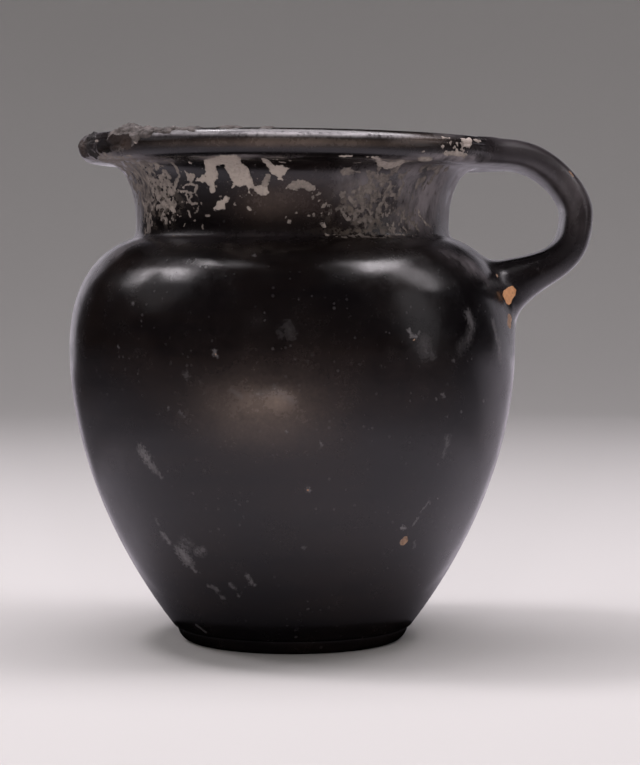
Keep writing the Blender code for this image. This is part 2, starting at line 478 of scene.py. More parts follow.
@dataclass
class StrapHandle:
    """The strap handle: a loft of oval rings from the lip over to the shoulder."""

    form: Form
    thickness: float = 6.4 * MM
    bend_thickness: float = 7.0 * MM
    width: float = 18.0 * MM
    reach: float = 15.5 * MM
    bend_drop: float = 16.1 * MM
    lip_spread: float = 44.0 * MM
    root_drop: float = 13.6 * MM
    root_height: float = 21.0 * MM
    root_spread: float = 29.0 * MM
    slope: float = 13.0
    sides: int = 72
    fillet: float = 2.4 * MM
    wiped: float = 3.6 * MM
    wipes: int = 40

    def middle_line(self) -> tuple[np.ndarray, np.ndarray]:
        """The middle line in the XZ plane: over the bend, and back under it to the shoulder."""
        form = self.form
        lip_seat = (form.lip_radius - form.lip_top_round, form.lip_top - self.thickness / 2)
        bend = (form.lip_radius + self.reach, form.lip_top - self.bend_drop)
        root_height = form.crease_bottom - self.root_drop
        root = (form.wall_middle(root_height), root_height)
        return cubic(lip_seat, self.slope, 0.44, bend, -90, 0.23, 40), cubic(bend, -90, 0.5, root, 222, 0.46, 58)

    def rings(self) -> list[list[Vector]]:
        """The rings of points, each one side by side with the next."""
        over, under = self.middle_line()
        line = np.vstack([over, under[1:]])
        travel = np.gradient(line, axis=0)
        travel /= np.linalg.norm(travel, axis=1)[:, None]
        found = []
        for index, (centre, along) in enumerate(zip(line, travel)):
            if index < len(over):
                share = index / (len(over) - 1)
                thick = self.thickness + (self.bend_thickness - self.thickness) * share
                at_lip, at_root = max(0.0, 1 - 1.6 * share) ** 2, 0.0
            else:
                share = (index - len(over) + 1) / (len(under) - 1)
                thick = self.bend_thickness + (self.root_height - self.bend_thickness) * share**4.5
                at_lip, at_root = 0.0, share**4
            width = self.width + (self.lip_spread - self.width) * at_lip + (self.root_spread - self.width) * at_root
            found.append([
                self.ring_point(centre, along, thick, width, at_lip, at_root, 2 * pi * side / self.sides)
                for side in range(self.sides)
            ])
        return found

    def ring_point(self, centre: np.ndarray, along: np.ndarray, thick: float, width: float,
                   at_lip: float, at_root: float, angle: float) -> Vector:
        """One point of a ring.

        Args:
            centre: the middle of the strap there.
            along: the direction of the strap.
            thick: its thickness.
            width: its width.
            at_lip: how far the ring bends round the lip, from 0 to 1.
            at_root: how far it is laid onto the wall, from 0 to 1.
            angle: where on the oval the point lies.

        Returns:
            The point.
        """
        edge = min(thick, 9 * MM) / 2
        across = (width / 2 - edge) * np.tanh(2.2 * cos(angle)) / np.tanh(2.2) + edge * cos(angle)
        out = thick / 2 * sin(angle)
        x, z = centre[0] - along[1] * out, centre[1] + along[0] * out
        x -= at_lip * (self.form.lip_radius - sqrt(self.form.lip_radius**2 - across**2))
        x += at_root * (sqrt(self.form.wall_middle(z) ** 2 - across**2) - x)
        return Vector((x, across, z))

    def build(self) -> bpy.types.Object:
        """Extrudes the strap ring by ring and closes both ends."""
        rings = self.rings()
        bpy.ops.mesh.primitive_circle_add(vertices=self.sides, radius=self.width / 2, location=rings[0][0])
        strap = bpy.context.object
        strap.name = "strap"
        bpy.ops.object.transform_apply(location=True, rotation=True, scale=True)
        mesh = begin_edit(strap)
        mesh.verts.ensure_lookup_table()
        for vert, point in zip(mesh.verts, rings[0]):
            vert.co = point
        bpy.ops.mesh.select_all(action="SELECT")
        for ring in rings[1:]:
            bpy.ops.mesh.extrude_region_move(TRANSFORM_OT_translate={"value": (0.0, 0.0, 0.0)})
            mesh = bmesh.from_edit_mesh(strap.data)
            mesh.verts.ensure_lookup_table()
            for vert, point in zip(mesh.verts[-self.sides:], ring):
                vert.co = point
        bmesh.update_edit_mesh(strap.data)
        bpy.ops.mesh.select_all(action="DESELECT")
        bpy.ops.mesh.select_non_manifold()
        bpy.ops.mesh.fill()
        end_edit()
        settle(strap)
        points = points_of(strap)
        lift = rough(points, 9 * MM, seed=3.0, octaves=1)
        free = fall_off(np.abs(points[:, 0] - 56 * MM), 9 * MM, 18 * MM)
        points += normals_of(strap) * (0.14 * MM * lift * free)[:, None]
        set_points(strap, points)
        return strap

    def near_roots(self, centre: Vector) -> bool:
        """True for a place on the body that the luted strap touches or nearly touches."""
        if centre.x < 20 * MM or abs(centre.y) > 30 * MM or Vector((centre.x, centre.y)).length < 36 * MM:
            return False
        on_shoulder = 60 * MM < centre.z < 90 * MM and abs(centre.y) < 20 * MM and centre.x > 36 * MM
        on_lip = centre.z > 101 * MM and centre.x > 30 * MM
        return on_shoulder or on_lip

    def lute(self, body: bpy.types.Object, strap: bpy.types.Object) -> bpy.types.Object:
        """Joins the strap to the body with a soft seam, as wet clay wiped round the joint.

        Args:
            body: the thrown body.
            strap: the strap, removed by the joint.

        Returns:
            The joined vessel.
        """
        begin_edit(body, "FACE")
        pick(body, lambda face: self.near_roots(face.calc_center_median()))
        bpy.ops.mesh.subdivide(number_cuts=1, smoothness=1.0)
        end_edit()
        settle(body)
        body_tree, strap_tree = surface_of(body), surface_of(strap)
        self.swell_towards(body, strap_tree, lambda p, n: p.x > 30 * MM and n.x * p.x + n.y * p.y > -0.2 * MM)
        self.swell_towards(strap, body_tree, lambda p, n: True)
        join(body, strap, "UNION")
        self.wipe_seam(body)
        return body

    def swell_towards(self, obj: bpy.types.Object, other: BVHTree, counts: Callable[[Vector, Vector], bool]) -> None:
        """Raises a surface near another one, as two drops run together.

        Args:
            obj: the mesh that swells.
            other: the surface that it swells towards.
            counts: tells from a point and its normal whether it may move.
        """
        for vert in obj.data.vertices:
            if not counts(vert.co, vert.normal):
                continue
            hit, _, _, distance = other.find_nearest(vert.co, self.fillet)
            if hit is not None and distance < self.fillet:
                vert.co += vert.normal * (self.fillet - distance) ** 2 / (4 * self.fillet)
        obj.data.update()

    def wipe_seam(self, vessel: bpy.types.Object) -> None:
        """Wipes the seam smooth, most on the seam itself and less away from it."""
        mesh = begin_edit(vessel, "VERT")
        bpy.ops.mesh.select_all(action="DESELECT")
        for edge in mesh.edges:
            if len({face.material_index for face in edge.link_faces}) == 2:
                edge.verts[0].select_set(True)
                edge.verts[1].select_set(True)
        bmesh.update_edit_mesh(vessel.data)
        bpy.ops.mesh.select_more()
        bpy.ops.mesh.remove_doubles(threshold=0.2 * MM)
        end_edit()
        seam = set()
        coat = [face.material_index for face in vessel.data.polygons]
        sides: dict[tuple[int, int], int] = {}
        for index, face in enumerate(vessel.data.polygons):
            for key in face.edge_keys:
                if sides.setdefault(key, coat[index]) != coat[index]:
                    seam.update(key)
        points = points_of(vessel)
        tree = KDTree(len(seam))
        for index in seam:
            tree.insert(points[index], index)
        tree.balance()
        box = points[list(seam)]
        low, high = box.min(axis=0) - self.wiped, box.max(axis=0) + self.wiped
        weight = np.zeros(len(points))
        for index in np.nonzero(((points > low) & (points < high)).all(axis=1))[0]:
            distance = tree.find(points[index])[2]
            weight[index] = fall_off(distance, 0.3 * self.wiped, self.wiped)
        pairs = np.array([edge.vertices[:] for edge in vessel.data.edges])
        pairs = pairs[(weight[pairs] > 0).any(axis=1)]
        count = np.zeros(len(points))
        np.add.at(count, pairs[:, 0], 1.0)
        np.add.at(count, pairs[:, 1], 1.0)
        count = np.maximum(count, 1.0)[:, None]
        for _ in range(self.wipes):
            mean = np.zeros_like(points)
            np.add.at(mean, pairs[:, 0], points[pairs[:, 1]])
            np.add.at(mean, pairs[:, 1], points[pairs[:, 0]])
            points += 0.5 * weight[:, None] * (mean / count - points) * (weight > 0)[:, None]
        set_points(vessel, points)
        for face in vessel.data.polygons:
            face.material_index = Coat.GLOSS.value


@dataclass
class Lump:
    """A rough lump laid on the surface or broken out of it.

    Attributes:
        place: its middle.
        turn: the turn that its depth points along.
        tilt: how far its depth looks up, in degrees.
        size: its length round the vessel, its depth and its height.
        grain: the size of its roughness.
        roughness: how far the roughness stands out.
        coat: what its faces show.
        lean: how far it is turned in the surface, in degrees.
        fineness: how often the faces of its ball are divided.
    """

    place: Vector
    turn: float
    tilt: float
    size: tuple[float, float, float]
    grain: float
    roughness: float
    coat: Coat
    lean: float = 0.0
    fineness: int = 5

    def build(self, materials: Sequence[bpy.types.Material]) -> bpy.types.Object:
        """Models the lump in its place."""
        bpy.ops.mesh.primitive_ico_sphere_add(subdivisions=self.fineness, radius=0.5)
        lump = bpy.context.object
        points = points_of(lump)
        length, depth, height = self.size
        frame_of = (
            Matrix.Rotation(radians(self.turn), 3, "Z")
            @ Matrix.Rotation(radians(-self.tilt), 3, "Y")
            @ Matrix.Rotation(radians(self.lean), 3, "X")
        )
        outline = 1 + 0.16 * rough(points, 0.35, seed=self.turn, octaves=2)
        shaped = points * outline[:, None] * np.array([depth, length, height])
        away = points / np.linalg.norm(points, axis=1)[:, None]
        shaped += away * (self.roughness * rough(shaped, self.grain, seed=self.tilt + 1.3, octaves=3))[:, None]
        set_points(lump, shaped @ np.array(frame_of).T + np.array(self.place))
        give_coats(lump, materials, self.coat)
        return lump


@dataclass
class Damage:
    """The spall out of the lip, the crust beside it, and the chips down to the clay."""

    form: Form
    chip_depth: float = 2.4 * MM

    def lumps(self, rows: Sequence[tuple], radius: float, height: float, coat: Coat) -> list[Lump]:
        """Places lumps on the lip.

        Args:
            rows: turn, distance outwards and upwards, size, grain, roughness, lean and fineness of each, in
                degrees and millimetres.
            radius: the radius that the distances outwards start from.
            height: the height that the distances upwards start from.
            coat: what their faces show.

        Returns:
            The lumps.
        """
        return [
            Lump(on_circle(radius + out * MM, turn, height + up * MM), turn, 0, tuple(side * MM for side in size),
                 grain * MM, roughness * MM, coat, lean, fineness)
            for turn, out, up, size, grain, roughness, lean, fineness in rows
        ]

    def crust(self) -> list[Lump]:
        """The hump of hard crust on the lip's crown, the low ridge that runs on from it, and the rough lip end."""
        form = self.form
        top = form.lip_top + 0.4 * MM
        on_crown = [
            (221.8, 0.0, -1.75, (12.0, 5.6, 5.6), 1.5, 0.42, 0.0, 6),
            (218.4, 0.6, -2.5, (7.0, 5.2, 4.6), 1.2, 0.36, 0.0, 5),
            (225.5, 0.8, -2.0, (6.0, 4.6, 4.2), 1.2, 0.34, 0.0, 5),
            (230.0, 0.0, -1.45, (9.0, 4.6, 3.8), 1.1, 0.34, 0.0, 5),
            (236.5, 0.0, -1.2, (8.5, 4.0, 2.9), 1.0, 0.30, 0.0, 5),
            (243.5, 0.0, -1.05, (8.0, 3.2, 2.3), 0.9, 0.24, 0.0, 4),
            (254.0, 0.0, -0.95, (8.0, 2.6, 2.1), 0.9, 0.2, 0.0, 4),
            (264.0, 0.0, -0.95, (5.0, 2.2, 1.7), 0.8, 0.16, 0.0, 4),
        ]
        on_edge = [
            (204.0, -1.75, -2.6, (10.0, 4.2, 5.4), 1.1, 0.30, 0.0, 6),
            (196.0, -1.75, -2.7, (9.0, 4.2, 4.8), 1.2, 0.28, 0.0, 6),
        ]
        hump = self.lumps(on_crown, form.lip_radius - form.lip_top_round, top, Coat.CRUST)
        return hump + self.lumps(on_edge, form.lip_radius, top, Coat.BREAK)

    def breaks(self) -> list[Lump]:
        """What has broken away from the outer face of the lip."""
        on_face = [
            (213.4, 1.2, -0.25, (5.6, 7.0, 3.4), 1.3, 0.34, -12.0, 6),
            (210.4, 1.9, -0.75, (3.6, 6.6, 2.7), 1.1, 0.28, 20.0, 5),
            (219.0, 2.7, 0.2, (8.6, 7.6, 4.6), 1.2, 0.30, 8.0, 6),
            (223.6, 3.0, 0.3, (7.0, 7.4, 4.9), 1.0, 0.26, 0.0, 5),
        ]
        return self.lumps(on_face, self.form.lip_radius, self.form.lip_top - 2.6 * MM, Coat.BREAK)

    def chips(self) -> list[Lump]:
        """Small chips down to the clay, on the body."""
        rows = [
            (306.5, 25.3, (3.2, 3.0), 0.36, -30, Coat.DUSTY, 0.0),
            (300.9, 67.4, (1.5, 0.9), 0.11, 6, Coat.DUSTY, 35),
            (252.2, 64.8, (0.9, 1.1), 0.11, 0, Coat.DUSTY, 0.0),
            (274.7, 37.1, (1.1, 1.0), 0.14, -14, Coat.CLAY, 0.0),
        ]
        found = []
        for turn, height, (length, tall), sink, tilt, coat, lean in rows:
            middle = self.form.place(turn, height * MM) + facing(turn, tilt) * (self.chip_depth / 2 - sink * MM)
            size = (length * MM, self.chip_depth, tall * MM)
            found.append(Lump(middle, turn, tilt, size, 0.5 * MM, 0.07 * MM, coat, lean, 4))
        return found

    def strap_chips(self, vessel: bpy.types.Object) -> list[Lump]:
        """The chips on the handle's near side, laid on the luted vessel."""
        tree = surface_of(vessel)
        wanted = [
            (Vector((46.1, -12.0, 75.9)), (4.6, 5.0), 0.46, 0.0, Coat.CLAY),
            (Vector((43.7, -12.2, 80.0)), (1.5, 1.9), 0.18, 0.0, Coat.DUSTY),
            (Vector((46.6, -13.5, 70.6)), (4.6, 5.0), 0.36, -8.0, Coat.DUSTY),
            (Vector((60.0, -7.6, 102.1)), (1.2, 2.6), 0.2, 20.0, Coat.DUSTY),
        ]
        found = []
        for place, (length, tall), sink, lean, coat in wanted:
            hit, normal, _, _ = tree.find_nearest(place * MM)
            turn = float(np.degrees(np.arctan2(normal.y, normal.x)))
            tilt = float(np.degrees(np.arcsin(normal.z)))
            middle = hit + normal * (1.2 - sink) * MM
            size = (length * MM, self.chip_depth, tall * MM)
            found.append(Lump(middle, turn, tilt, size, 0.9 * MM, 0.12 * MM, coat, lean, 4))
        return found

    def apply(self, vessel: bpy.types.Object, materials: Sequence[bpy.types.Material]) -> None:
        """Joins the crust to the vessel and takes the breaks and chips out of it."""
        crust, *others = [lump.build(materials) for lump in self.crust()]
        for other in others:
            join(crust, other, "UNION")
        join(vessel, crust, "UNION")
        breaks, *others = [lump.build(materials) for lump in self.breaks()]
        for other in others:
            join(breaks, other, "UNION")
        chips = [lump.build(materials) for lump in self.chips() + self.strap_chips(vessel)]
        join(vessel, gather([breaks, *chips], "lost"), "DIFFERENCE")


@dataclass
class Patch:
    """A soft patch of one stain, wear mark, painted highlight or painted sheen.

    Attributes:
        stain: which kind of patch.
        turn: where it lies round the vessel, in degrees.
        height: the height of its middle.
        half_width: half its width along the surface.
        half_height: half its height.
        strength: how strong it is in the middle.
    """

    stain: StainAndSheen
    turn: float
    height: float
    half_width: float
    half_height: float
    strength: float


@dataclass
class WearAndSheen:
    """The soft patches where the gloss is filmed, soiled, browned or worn, and where highlight and sheen are painted
    on it.
    """

    form: Form

    def patches(self) -> list[Patch]:
        """All patches, in millimetres and degrees as they were seen."""
        rows = {
            StainAndSheen.FILM: [
                (312, 100.0, 10.0, 5.5, 0.8), (328, 97.5, 10.5, 8.5, 1.0), (303, 93.5, 11.0, 5.5, 0.42),
                (316, 92.5, 9.0, 5.0, 0.7), (319, 99.0, 9.0, 5.0, 0.8), (297, 98.5, 9.0, 5.5, 0.6),
                (318, 104.7, 12.0, 1.0, 1.0), (302, 104.2, 9.0, 0.6, 0.6), (288, 100.5, 3.6, 2.0, 0.5),
                (206, 99.0, 8.0, 9.0, 0.45), (190, 97.0, 9.0, 9.5, 0.9), (346, 97.0, 9.0, 9.0, 0.9),
                (322.7, 84.5, 5.0, 2.6, 0.42), (329.3, 82.4, 5.5, 3.2, 0.5), (334.5, 80.2, 4.0, 3.0, 0.4),
                (205.0, 85.3, 6.0, 2.6, 0.5), (208.2, 87.2, 6.0, 2.0, 0.5), (203.2, 82.8, 5.0, 3.0, 0.35),
                (206, 105.2, 11.0, 1.5, 1.0), (222, 104.4, 9.0, 1.0, 0.8), (246, 104.3, 5.0, 0.45, 0.6),
                (256, 104.45, 6.5, 0.4, 0.8), (268, 104.4, 6.0, 0.4, 0.4), (262, 71.5, 5.0, 3.0, 0.14),
            ],
            # Grey haze beside the handle root; the two thin patches at the crease dull the gloss and paint a soft
            # grey sheen on the shoulder's edge.
            StainAndSheen.HAZE_AND_SHEEN: [
                (344, 79.0, 6.5, 9.0, 0.35), (338, 70.0, 6.0, 8.0, 0.3), (235, 88.4, 12.0, 1.3, 1.0),
                (258, 88.4, 12.0, 1.3, 0.8),
            ],
            StainAndSheen.SOIL: [
                (299, 94.8, 9.5, 5.5, 1.0), (286, 93.5, 5.0, 4.0, 0.4), (314, 92.5, 7.0, 3.0, 0.5),
                (217, 97.0, 8.0, 7.0, 0.8), (298, 89.5, 13.0, 1.2, 0.7),
            ],
            StainAndSheen.BROWN: [
                (262, 95.6, 8.0, 4.5, 1.0), (274, 97.0, 9.0, 5.0, 1.0), (198, 107.5, 4.0, 4.0, 0.6),
                (287, 96.0, 6.0, 6.0, 0.55), (262, 106.9, 12.0, 0.9, 1.0), (304, 108.0, 7.0, 0.8, 0.9),
                (222, 107.5, 4.5, 3.0, 0.9), (268, 57.0, 22.0, 13.0, 0.55), (296, 57.0, 12.0, 7.0, 0.4),
                (236, 60.0, 12.0, 9.0, 0.3),
            ],
            # Wear on the neck and along the lip's band; the three patches low on the belly front paint the warm sheen
            # there.
            StainAndSheen.WORN_AND_SHEEN: [
                (264, 95.4, 5.5, 2.8, 0.22), (266.5, 55.6, 4.6, 2.4, 1.0), (264.0, 54.6, 7.6, 3.8, 0.80),
                (263.0, 53.2, 12.0, 6.5, 0.46), (240, 107.2, 8.0, 0.75, 0.20), (252, 107.15, 8.0, 0.75, 0.32),
                (263, 107.1, 8.0, 0.8, 0.50), (274, 107.1, 8.0, 0.8, 0.55), (285, 107.0, 8.0, 0.75, 0.45),
                (296, 107.0, 8.0, 0.7, 0.25), (305, 108.2, 6.0, 0.8, 0.42),
            ],
            StainAndSheen.DULL: [
                (200, 107.5, 7.5, 4.5, 1.0), (190, 108.0, 7.5, 4.0, 0.7), (232, 110.0, 11.0, 1.2, 0.8),
                (316, 109.4, 5.0, 0.8, 0.6),
            ],
            # Painted highlight: a bright line along the lip's crown, strongest at the front.
            StainAndSheen.RIM_HIGHLIGHT: [
                (236, 109.1, 8.0, 0.35, 0.35), (250, 109.0, 9.0, 0.38, 0.55), (262, 108.9, 8.0, 0.44, 0.90),
                (271, 108.8, 9.0, 0.48, 1.0), (284, 108.7, 9.0, 0.44, 0.95), (296, 108.6, 7.0, 0.38, 0.6),
            ],
        }
        return [
            Patch(stain, turn, z * MM, wide * MM, tall * MM, strong)
            for stain, found in rows.items() for turn, z, wide, tall, strong in found
        ]

    def apply(self, vessel: bpy.types.Object) -> None:
        """Writes each stain and painted sheen to its own attribute on the vessel."""
        points = points_of(vessel)
        radius = np.hypot(points[:, 0], points[:, 1])
        turn = np.degrees(np.arctan2(points[:, 1], points[:, 0])) % 360
        outside = radius > np.array([self.form.radius_at(z) for z in points[:, 2]]) - 1.5 * MM
        for stain in StainAndSheen:
            value = np.zeros(len(points))
            for patch in self.patches():
                if patch.stain is not stain:
                    continue
                off = (turn - patch.turn + 180) % 360 - 180
                across = np.radians(off) * radius / patch.half_width
                up = (points[:, 2] - patch.height) / patch.half_height
                value = np.maximum(value, patch.strength * np.exp(-1.1 * (across**2 + up**2)))
            # On the strap the haze is painted sheen, lighter towards the top as light falls from above.
            if stain is StainAndSheen.HAZE_AND_SHEEN:
                aside = np.abs((turn + 180) % 360 - 180)
                beyond = radius - np.array([self.form.radius_at(z) for z in points[:, 2]])
                on_strap = fall_off(-beyond, -2.6 * MM, -0.3 * MM) * fall_off(aside, 20.0, 32.0)
                on_strap *= points[:, 2] > 55 * MM
                value = np.maximum(value, on_strap * np.clip((points[:, 2] - 74 * MM) / (36 * MM), 0.12, 0.9))
            write_values(vessel, stain.value, value * outside)


@dataclass(frozen=True)
class Rub:
    """A rub or speck on the gloss, as a stroke between two places.

    Attributes:
        start: its first end.
        end: its other end.
        half_width: half its width in millimetres.
        strength: how pale it is in the middle.
        softness: how softly it fades at its edge.
    """

    start: Vector
    end: Vector
    half_width: float
    strength: float
    softness: float


@dataclass
class Rubs:
    """The small rubs, scratches and specks. Each face of the vessel carries the nearest few."""

    SLOTS = 4

    form: Form
    reach: float = 4.5 * MM

    def rubs(self) -> list[Rub]:
        """Every rub. On the body the ends are (turn, height in mm); on the strap they are (x, y, z) in mm."""
        on_body = [
            ((227.6, 45.6), (228.8, 44.4), 0.35, 0.32, 0.9),
            ((228.4, 44.2), (229.8, 42.6), 0.85, 0.75, 1.2),
            ((230.6, 41.6), (231.8, 40.6), 0.65, 0.55, 1.2),
            ((233.0, 39.8), (233.6, 38.8), 0.35, 0.30, 0.8),
            ((228.2, 26.4), (229.8, 24.8), 0.55, 0.60, 0.8),
            ((227.4, 29.6), (227.6, 28.6), 0.3, 0.30, 0.8),
            ((231.6, 24.0), (232.4, 23.2), 0.4, 0.28, 1.0),
            ((233.4, 22.8), (234.8, 21.0), 0.95, 0.80, 1.3),
            ((234.0, 24.6), (236.4, 24.0), 0.5, 0.28, 1.2),
            ((236.2, 25.6), (237.6, 25.0), 0.7, 0.20, 1.4),
            ((235.4, 20.0), (236.6, 18.8), 0.4, 0.40, 0.8),
            ((240.0, 23.2), (241.8, 23.6), 0.7, 0.36, 1.2),
            ((241.6, 15.4), (243.0, 14.8), 0.55, 0.32, 0.9),
            ((248.6, 16.4), (250.0, 15.6), 0.4, 0.32, 0.8),
            ((255.6, 18.4), (256.6, 16.8), 0.45, 0.36, 0.8),
            ((223.6, 5.6), (226.8, 4.2), 0.35, 0.32, 0.6),
            ((304.3, 28.3), (305.2, 28.1), 0.45, 0.65, 0.5),
            ((308.2, 28.6), (309.2, 30.2), 0.3, 0.45, 0.5),
            ((309.6, 31.4), (311.8, 33.6), 0.22, 0.36, 0.6),
            ((311.0, 24.8), (311.6, 23.6), 0.3, 0.28, 0.8),
            ((299.6, 69.4), (300.2, 68.4), 0.38, 0.55, 0.6),
            ((300.2, 68.2), (301.6, 68.0), 0.32, 0.60, 0.6),
            ((302.2, 68.6), (302.4, 68.9), 0.3, 0.35, 0.6),
            ((303.8, 66.8), (304.2, 65.0), 0.8, 0.24, 2.2),
            ((305.8, 64.6), (306.2, 64.2), 0.6, 0.22, 1.6),
            ((319.6, 72.4), (320.6, 70.2), 0.7, 0.46, 1.4),
            ((320.6, 70.0), (318.6, 67.2), 0.7, 0.24, 1.8),
            ((318.4, 67.2), (315.6, 65.6), 0.7, 0.16, 2.0),
            ((313.4, 47.0), (313.8, 45.4), 0.55, 0.30, 1.2),
            ((313.2, 44.6), (313.4, 43.2), 0.4, 0.22, 0.8),
            ((309.8, 56.2), (310.4, 55.6), 0.35, 0.32, 0.8),
            ((277.4, 47.0), (277.6, 46.8), 0.28, 0.50, 0.5),
            ((274.7, 37.3), (275.0, 37.0), 0.42, 0.45, 0.6),
            ((251.9, 65.2), (252.3, 64.6), 0.5, 0.40, 0.6),
            ((269.4, 70.4), (270.2, 68.6), 0.6, 0.16, 2.0),
            ((267.6, 69.4), (268.0, 68.6), 0.4, 0.12, 2.0),
            ((331.0, 70.6), (332.6, 66.6), 0.5, 0.45, 1.4),
            ((333.4, 66.6), (334.6, 62.6), 0.6, 0.42, 1.4),
            ((256.0, 57.6), (258.4, 56.2), 0.32, 0.28, 1.2),
            ((262.4, 56.8), (268.0, 57.0), 0.5, 0.26, 1.6),
            ((266.4, 57.8), (270.6, 55.6), 0.55, 0.30, 1.6),
            ((308.0, 55.4), (308.2, 55.2), 0.25, 0.3, 0.8),
            ((313.0, 63.1), (313.2, 62.9), 0.25, 0.3, 0.8),
            ((326.5, 54.3), (326.7, 54.1), 0.25, 0.3, 0.8),
            ((317.2, 52.4), (317.4, 52.2), 0.22, 0.3, 0.8),
            ((312.2, 51.6), (312.4, 51.4), 0.22, 0.28, 0.8),
            ((238.9, 53.6), (239.1, 53.4), 0.25, 0.35, 0.8),
            ((242.3, 52.8), (242.5, 52.6), 0.3, 0.32, 0.9),
            ((243.3, 52.0), (243.5, 51.8), 0.22, 0.3, 0.8),
            ((260.5, 56.4), (260.7, 56.2), 0.22, 0.3, 0.8),
            ((269.1, 49.3), (269.3, 49.1), 0.25, 0.3, 0.8),
            ((277.7, 46.6), (277.9, 46.4), 0.25, 0.3, 0.8),
            ((227.1, 74.8), (227.3, 74.6), 0.25, 0.4, 0.8),
            ((223.2, 65.9), (223.4, 65.7), 0.25, 0.3, 0.8),
            ((239.7, 15.6), (239.9, 15.4), 0.3, 0.35, 0.8),
            ((244.1, 13.2), (244.3, 13.0), 0.45, 0.34, 1.0),
            ((250.8, 13.9), (251.0, 13.7), 0.3, 0.3, 0.8),
            ((257.4, 16.6), (257.6, 16.4), 0.3, 0.3, 0.9),
            ((256.9, 1.1), (257.1, 0.9), 0.22, 0.3, 0.8),
            ((273.7, 24.9), (273.9, 24.7), 0.3, 0.26, 0.9),
            ((312.3, 33.2), (312.5, 33.0), 0.2, 0.28, 0.8),
            ((314.8, 34.1), (315.0, 33.9), 0.2, 0.28, 0.8),
            ((259.9, 84.6), (260.1, 84.4), 0.28, 0.55, 0.8),
            ((244.5, 60.4), (244.7, 60.2), 0.5, 0.2, 1.4),
            ((247.0, 82.4), (247.2, 82.2), 0.3, 0.3, 0.8),
        ]
        on_strap = [
            ((38.6, -25.3, 108.9), (41.5, -20.0, 108.9), 0.22, 0.3, 0.8),
            ((44.4, -10.6, 109.2), (46.3, -13.3, 108.7), 0.2, 0.3, 0.8),
            ((48.1, -12.9, 108.3), (49.4, -12.5, 107.8), 0.25, 0.4, 0.8),
            ((52.1, -10.8, 107.3), (53.5, -10.0, 106.7), 0.25, 0.34, 0.8),
            ((55.3, -9.5, 105.6), (56.4, -8.6, 105.0), 0.28, 0.4, 0.8),
            ((57.9, -8.6, 103.5), (58.8, -8.5, 102.7), 0.25, 0.45, 0.8),
            ((61.1, -7.8, 100.5), (61.7, -8.0, 99.4), 0.25, 0.36, 0.8),
            ((63.0, -8.4, 96.6), (63.4, -8.4, 94.9), 0.22, 0.3, 0.8),
        ]
        found = [Rub(self.form.place(t0, z0 * MM), self.form.place(t1, z1 * MM), wide, strong, soft)
                 for (t0, z0), (t1, z1), wide, strong, soft in on_body]
        found += [Rub(Vector(start) * MM, Vector(end) * MM, wide, strong, soft)
                  for start, end, wide, strong, soft in on_strap]
        return found

    def apply(self, vessel: bpy.types.Object) -> None:
        """Writes the nearest rubs to the faces' own attributes."""
        centres = np.array([face.center[:] for face in vessel.data.polygons])
        rubs = self.rubs()
        gaps = np.empty((len(rubs), len(centres)))
        for row, rub in enumerate(rubs):
            start, run = np.array(rub.start), np.array(rub.end - rub.start)
            share = np.clip((centres - start) @ run / (run @ run + 1e-12), 0.0, 1.0)
            gaps[row] = np.linalg.norm(centres - start - share[:, None] * run, axis=1) - rub.half_width * MM
        nearest = np.argsort(gaps, axis=0)[: self.SLOTS]
        starts = np.array([rub.start[:] for rub in rubs])
        ends = np.array([rub.end[:] for rub in rubs])
        shapes = np.array([(rub.half_width * MM, rub.softness, rub.strength) for rub in rubs])
        for slot, chosen in enumerate(nearest):
            far = gaps[chosen, np.arange(len(centres))] > self.reach
            shape = shapes[chosen]
            shape[far, 2] = 0.0
            for part, values in (("start", starts[chosen]), ("end", ends[chosen]), ("shape", shape)):
                attribute = vessel.data.attributes.new(f"rub_{part}_{slot}", "FLOAT_VECTOR", "FACE")
                attribute.data.foreach_set("vector", values.astype(np.float32).ravel())


# ---------------------------------------------------------------- lime on the neck


@dataclass
class Flake:
    """One flake of lime, with its corners as turns in degrees and climbs in millimetres from the crease.

    Attributes:
        corners: its outline, or the line of a stroke.
        half_width: half the stroke's width in millimetres; an outline has none and is filled.
        chalk: how thick and pale it is, from 0 to 1.
    """

    corners: Sequence[tuple[float, float]]
    half_width: float = 0.0
    chalk: float = 1.0

    def inside(self, turns: np.ndarray, climbs: np.ndarray, radii: np.ndarray) -> np.ndarray:
        """How far points lie inside the flake, in metres; negative outside it.

        Args:
            turns: the points' turns, in degrees.
            climbs: their climbs, in metres.
            radii: their radii.

        Returns:
            One distance a point.
        """
        line = np.array(self.corners, float)
        ends = np.roll(line, -1, axis=0)
        if self.half_width:
            ends = line[1:] if len(line) > 1 else line
            line = line[: len(ends)]
        gap = np.full(len(turns), 1.0)
        crossed = np.zeros(len(turns), bool)
        for (t0, c0), (t1, c1) in zip(line, ends):
            across, up = np.radians(turns - t0) * radii, climbs - c0 * MM
            run_across, run_up = np.radians(t1 - t0) * radii, (c1 - c0) * MM
            share = np.clip((across * run_across + up * run_up) / (run_across**2 + run_up**2 + 1e-12), 0.0, 1.0)
            gap = np.minimum(gap, np.hypot(across - share * run_across, up - share * run_up))
            if c0 != c1:
                spans = (climbs > c0 * MM) != (climbs > c1 * MM)
                crossed ^= spans & (turns < t0 + (climbs / MM - c0) / (c1 - c0) * (t1 - t0))
        if self.half_width:
            return self.half_width * MM - gap
        return np.where(crossed, gap, -gap)


@dataclass(frozen=True)
class CrumbField:
    """A field of fine crumbs of lime.

    Attributes:
        turn: its middle, in degrees.
        climb: its middle, in millimetres from the crease.
        half_turn: half its extent round the neck, in degrees.
        half_climb: half its extent up the neck, in millimetres.
        cover: how much of it is covered, from 0 to 1.
        grain: the size of the crumbs, in millimetres.
        stretch: how much longer than wide they are.
        chalk: how thick and pale they are.
        seed: picks the pattern.
    """

    turn: float
    climb: float
    half_turn: float
    half_climb: float
    cover: float
    grain: float
    stretch: float
    chalk: float
    seed: float


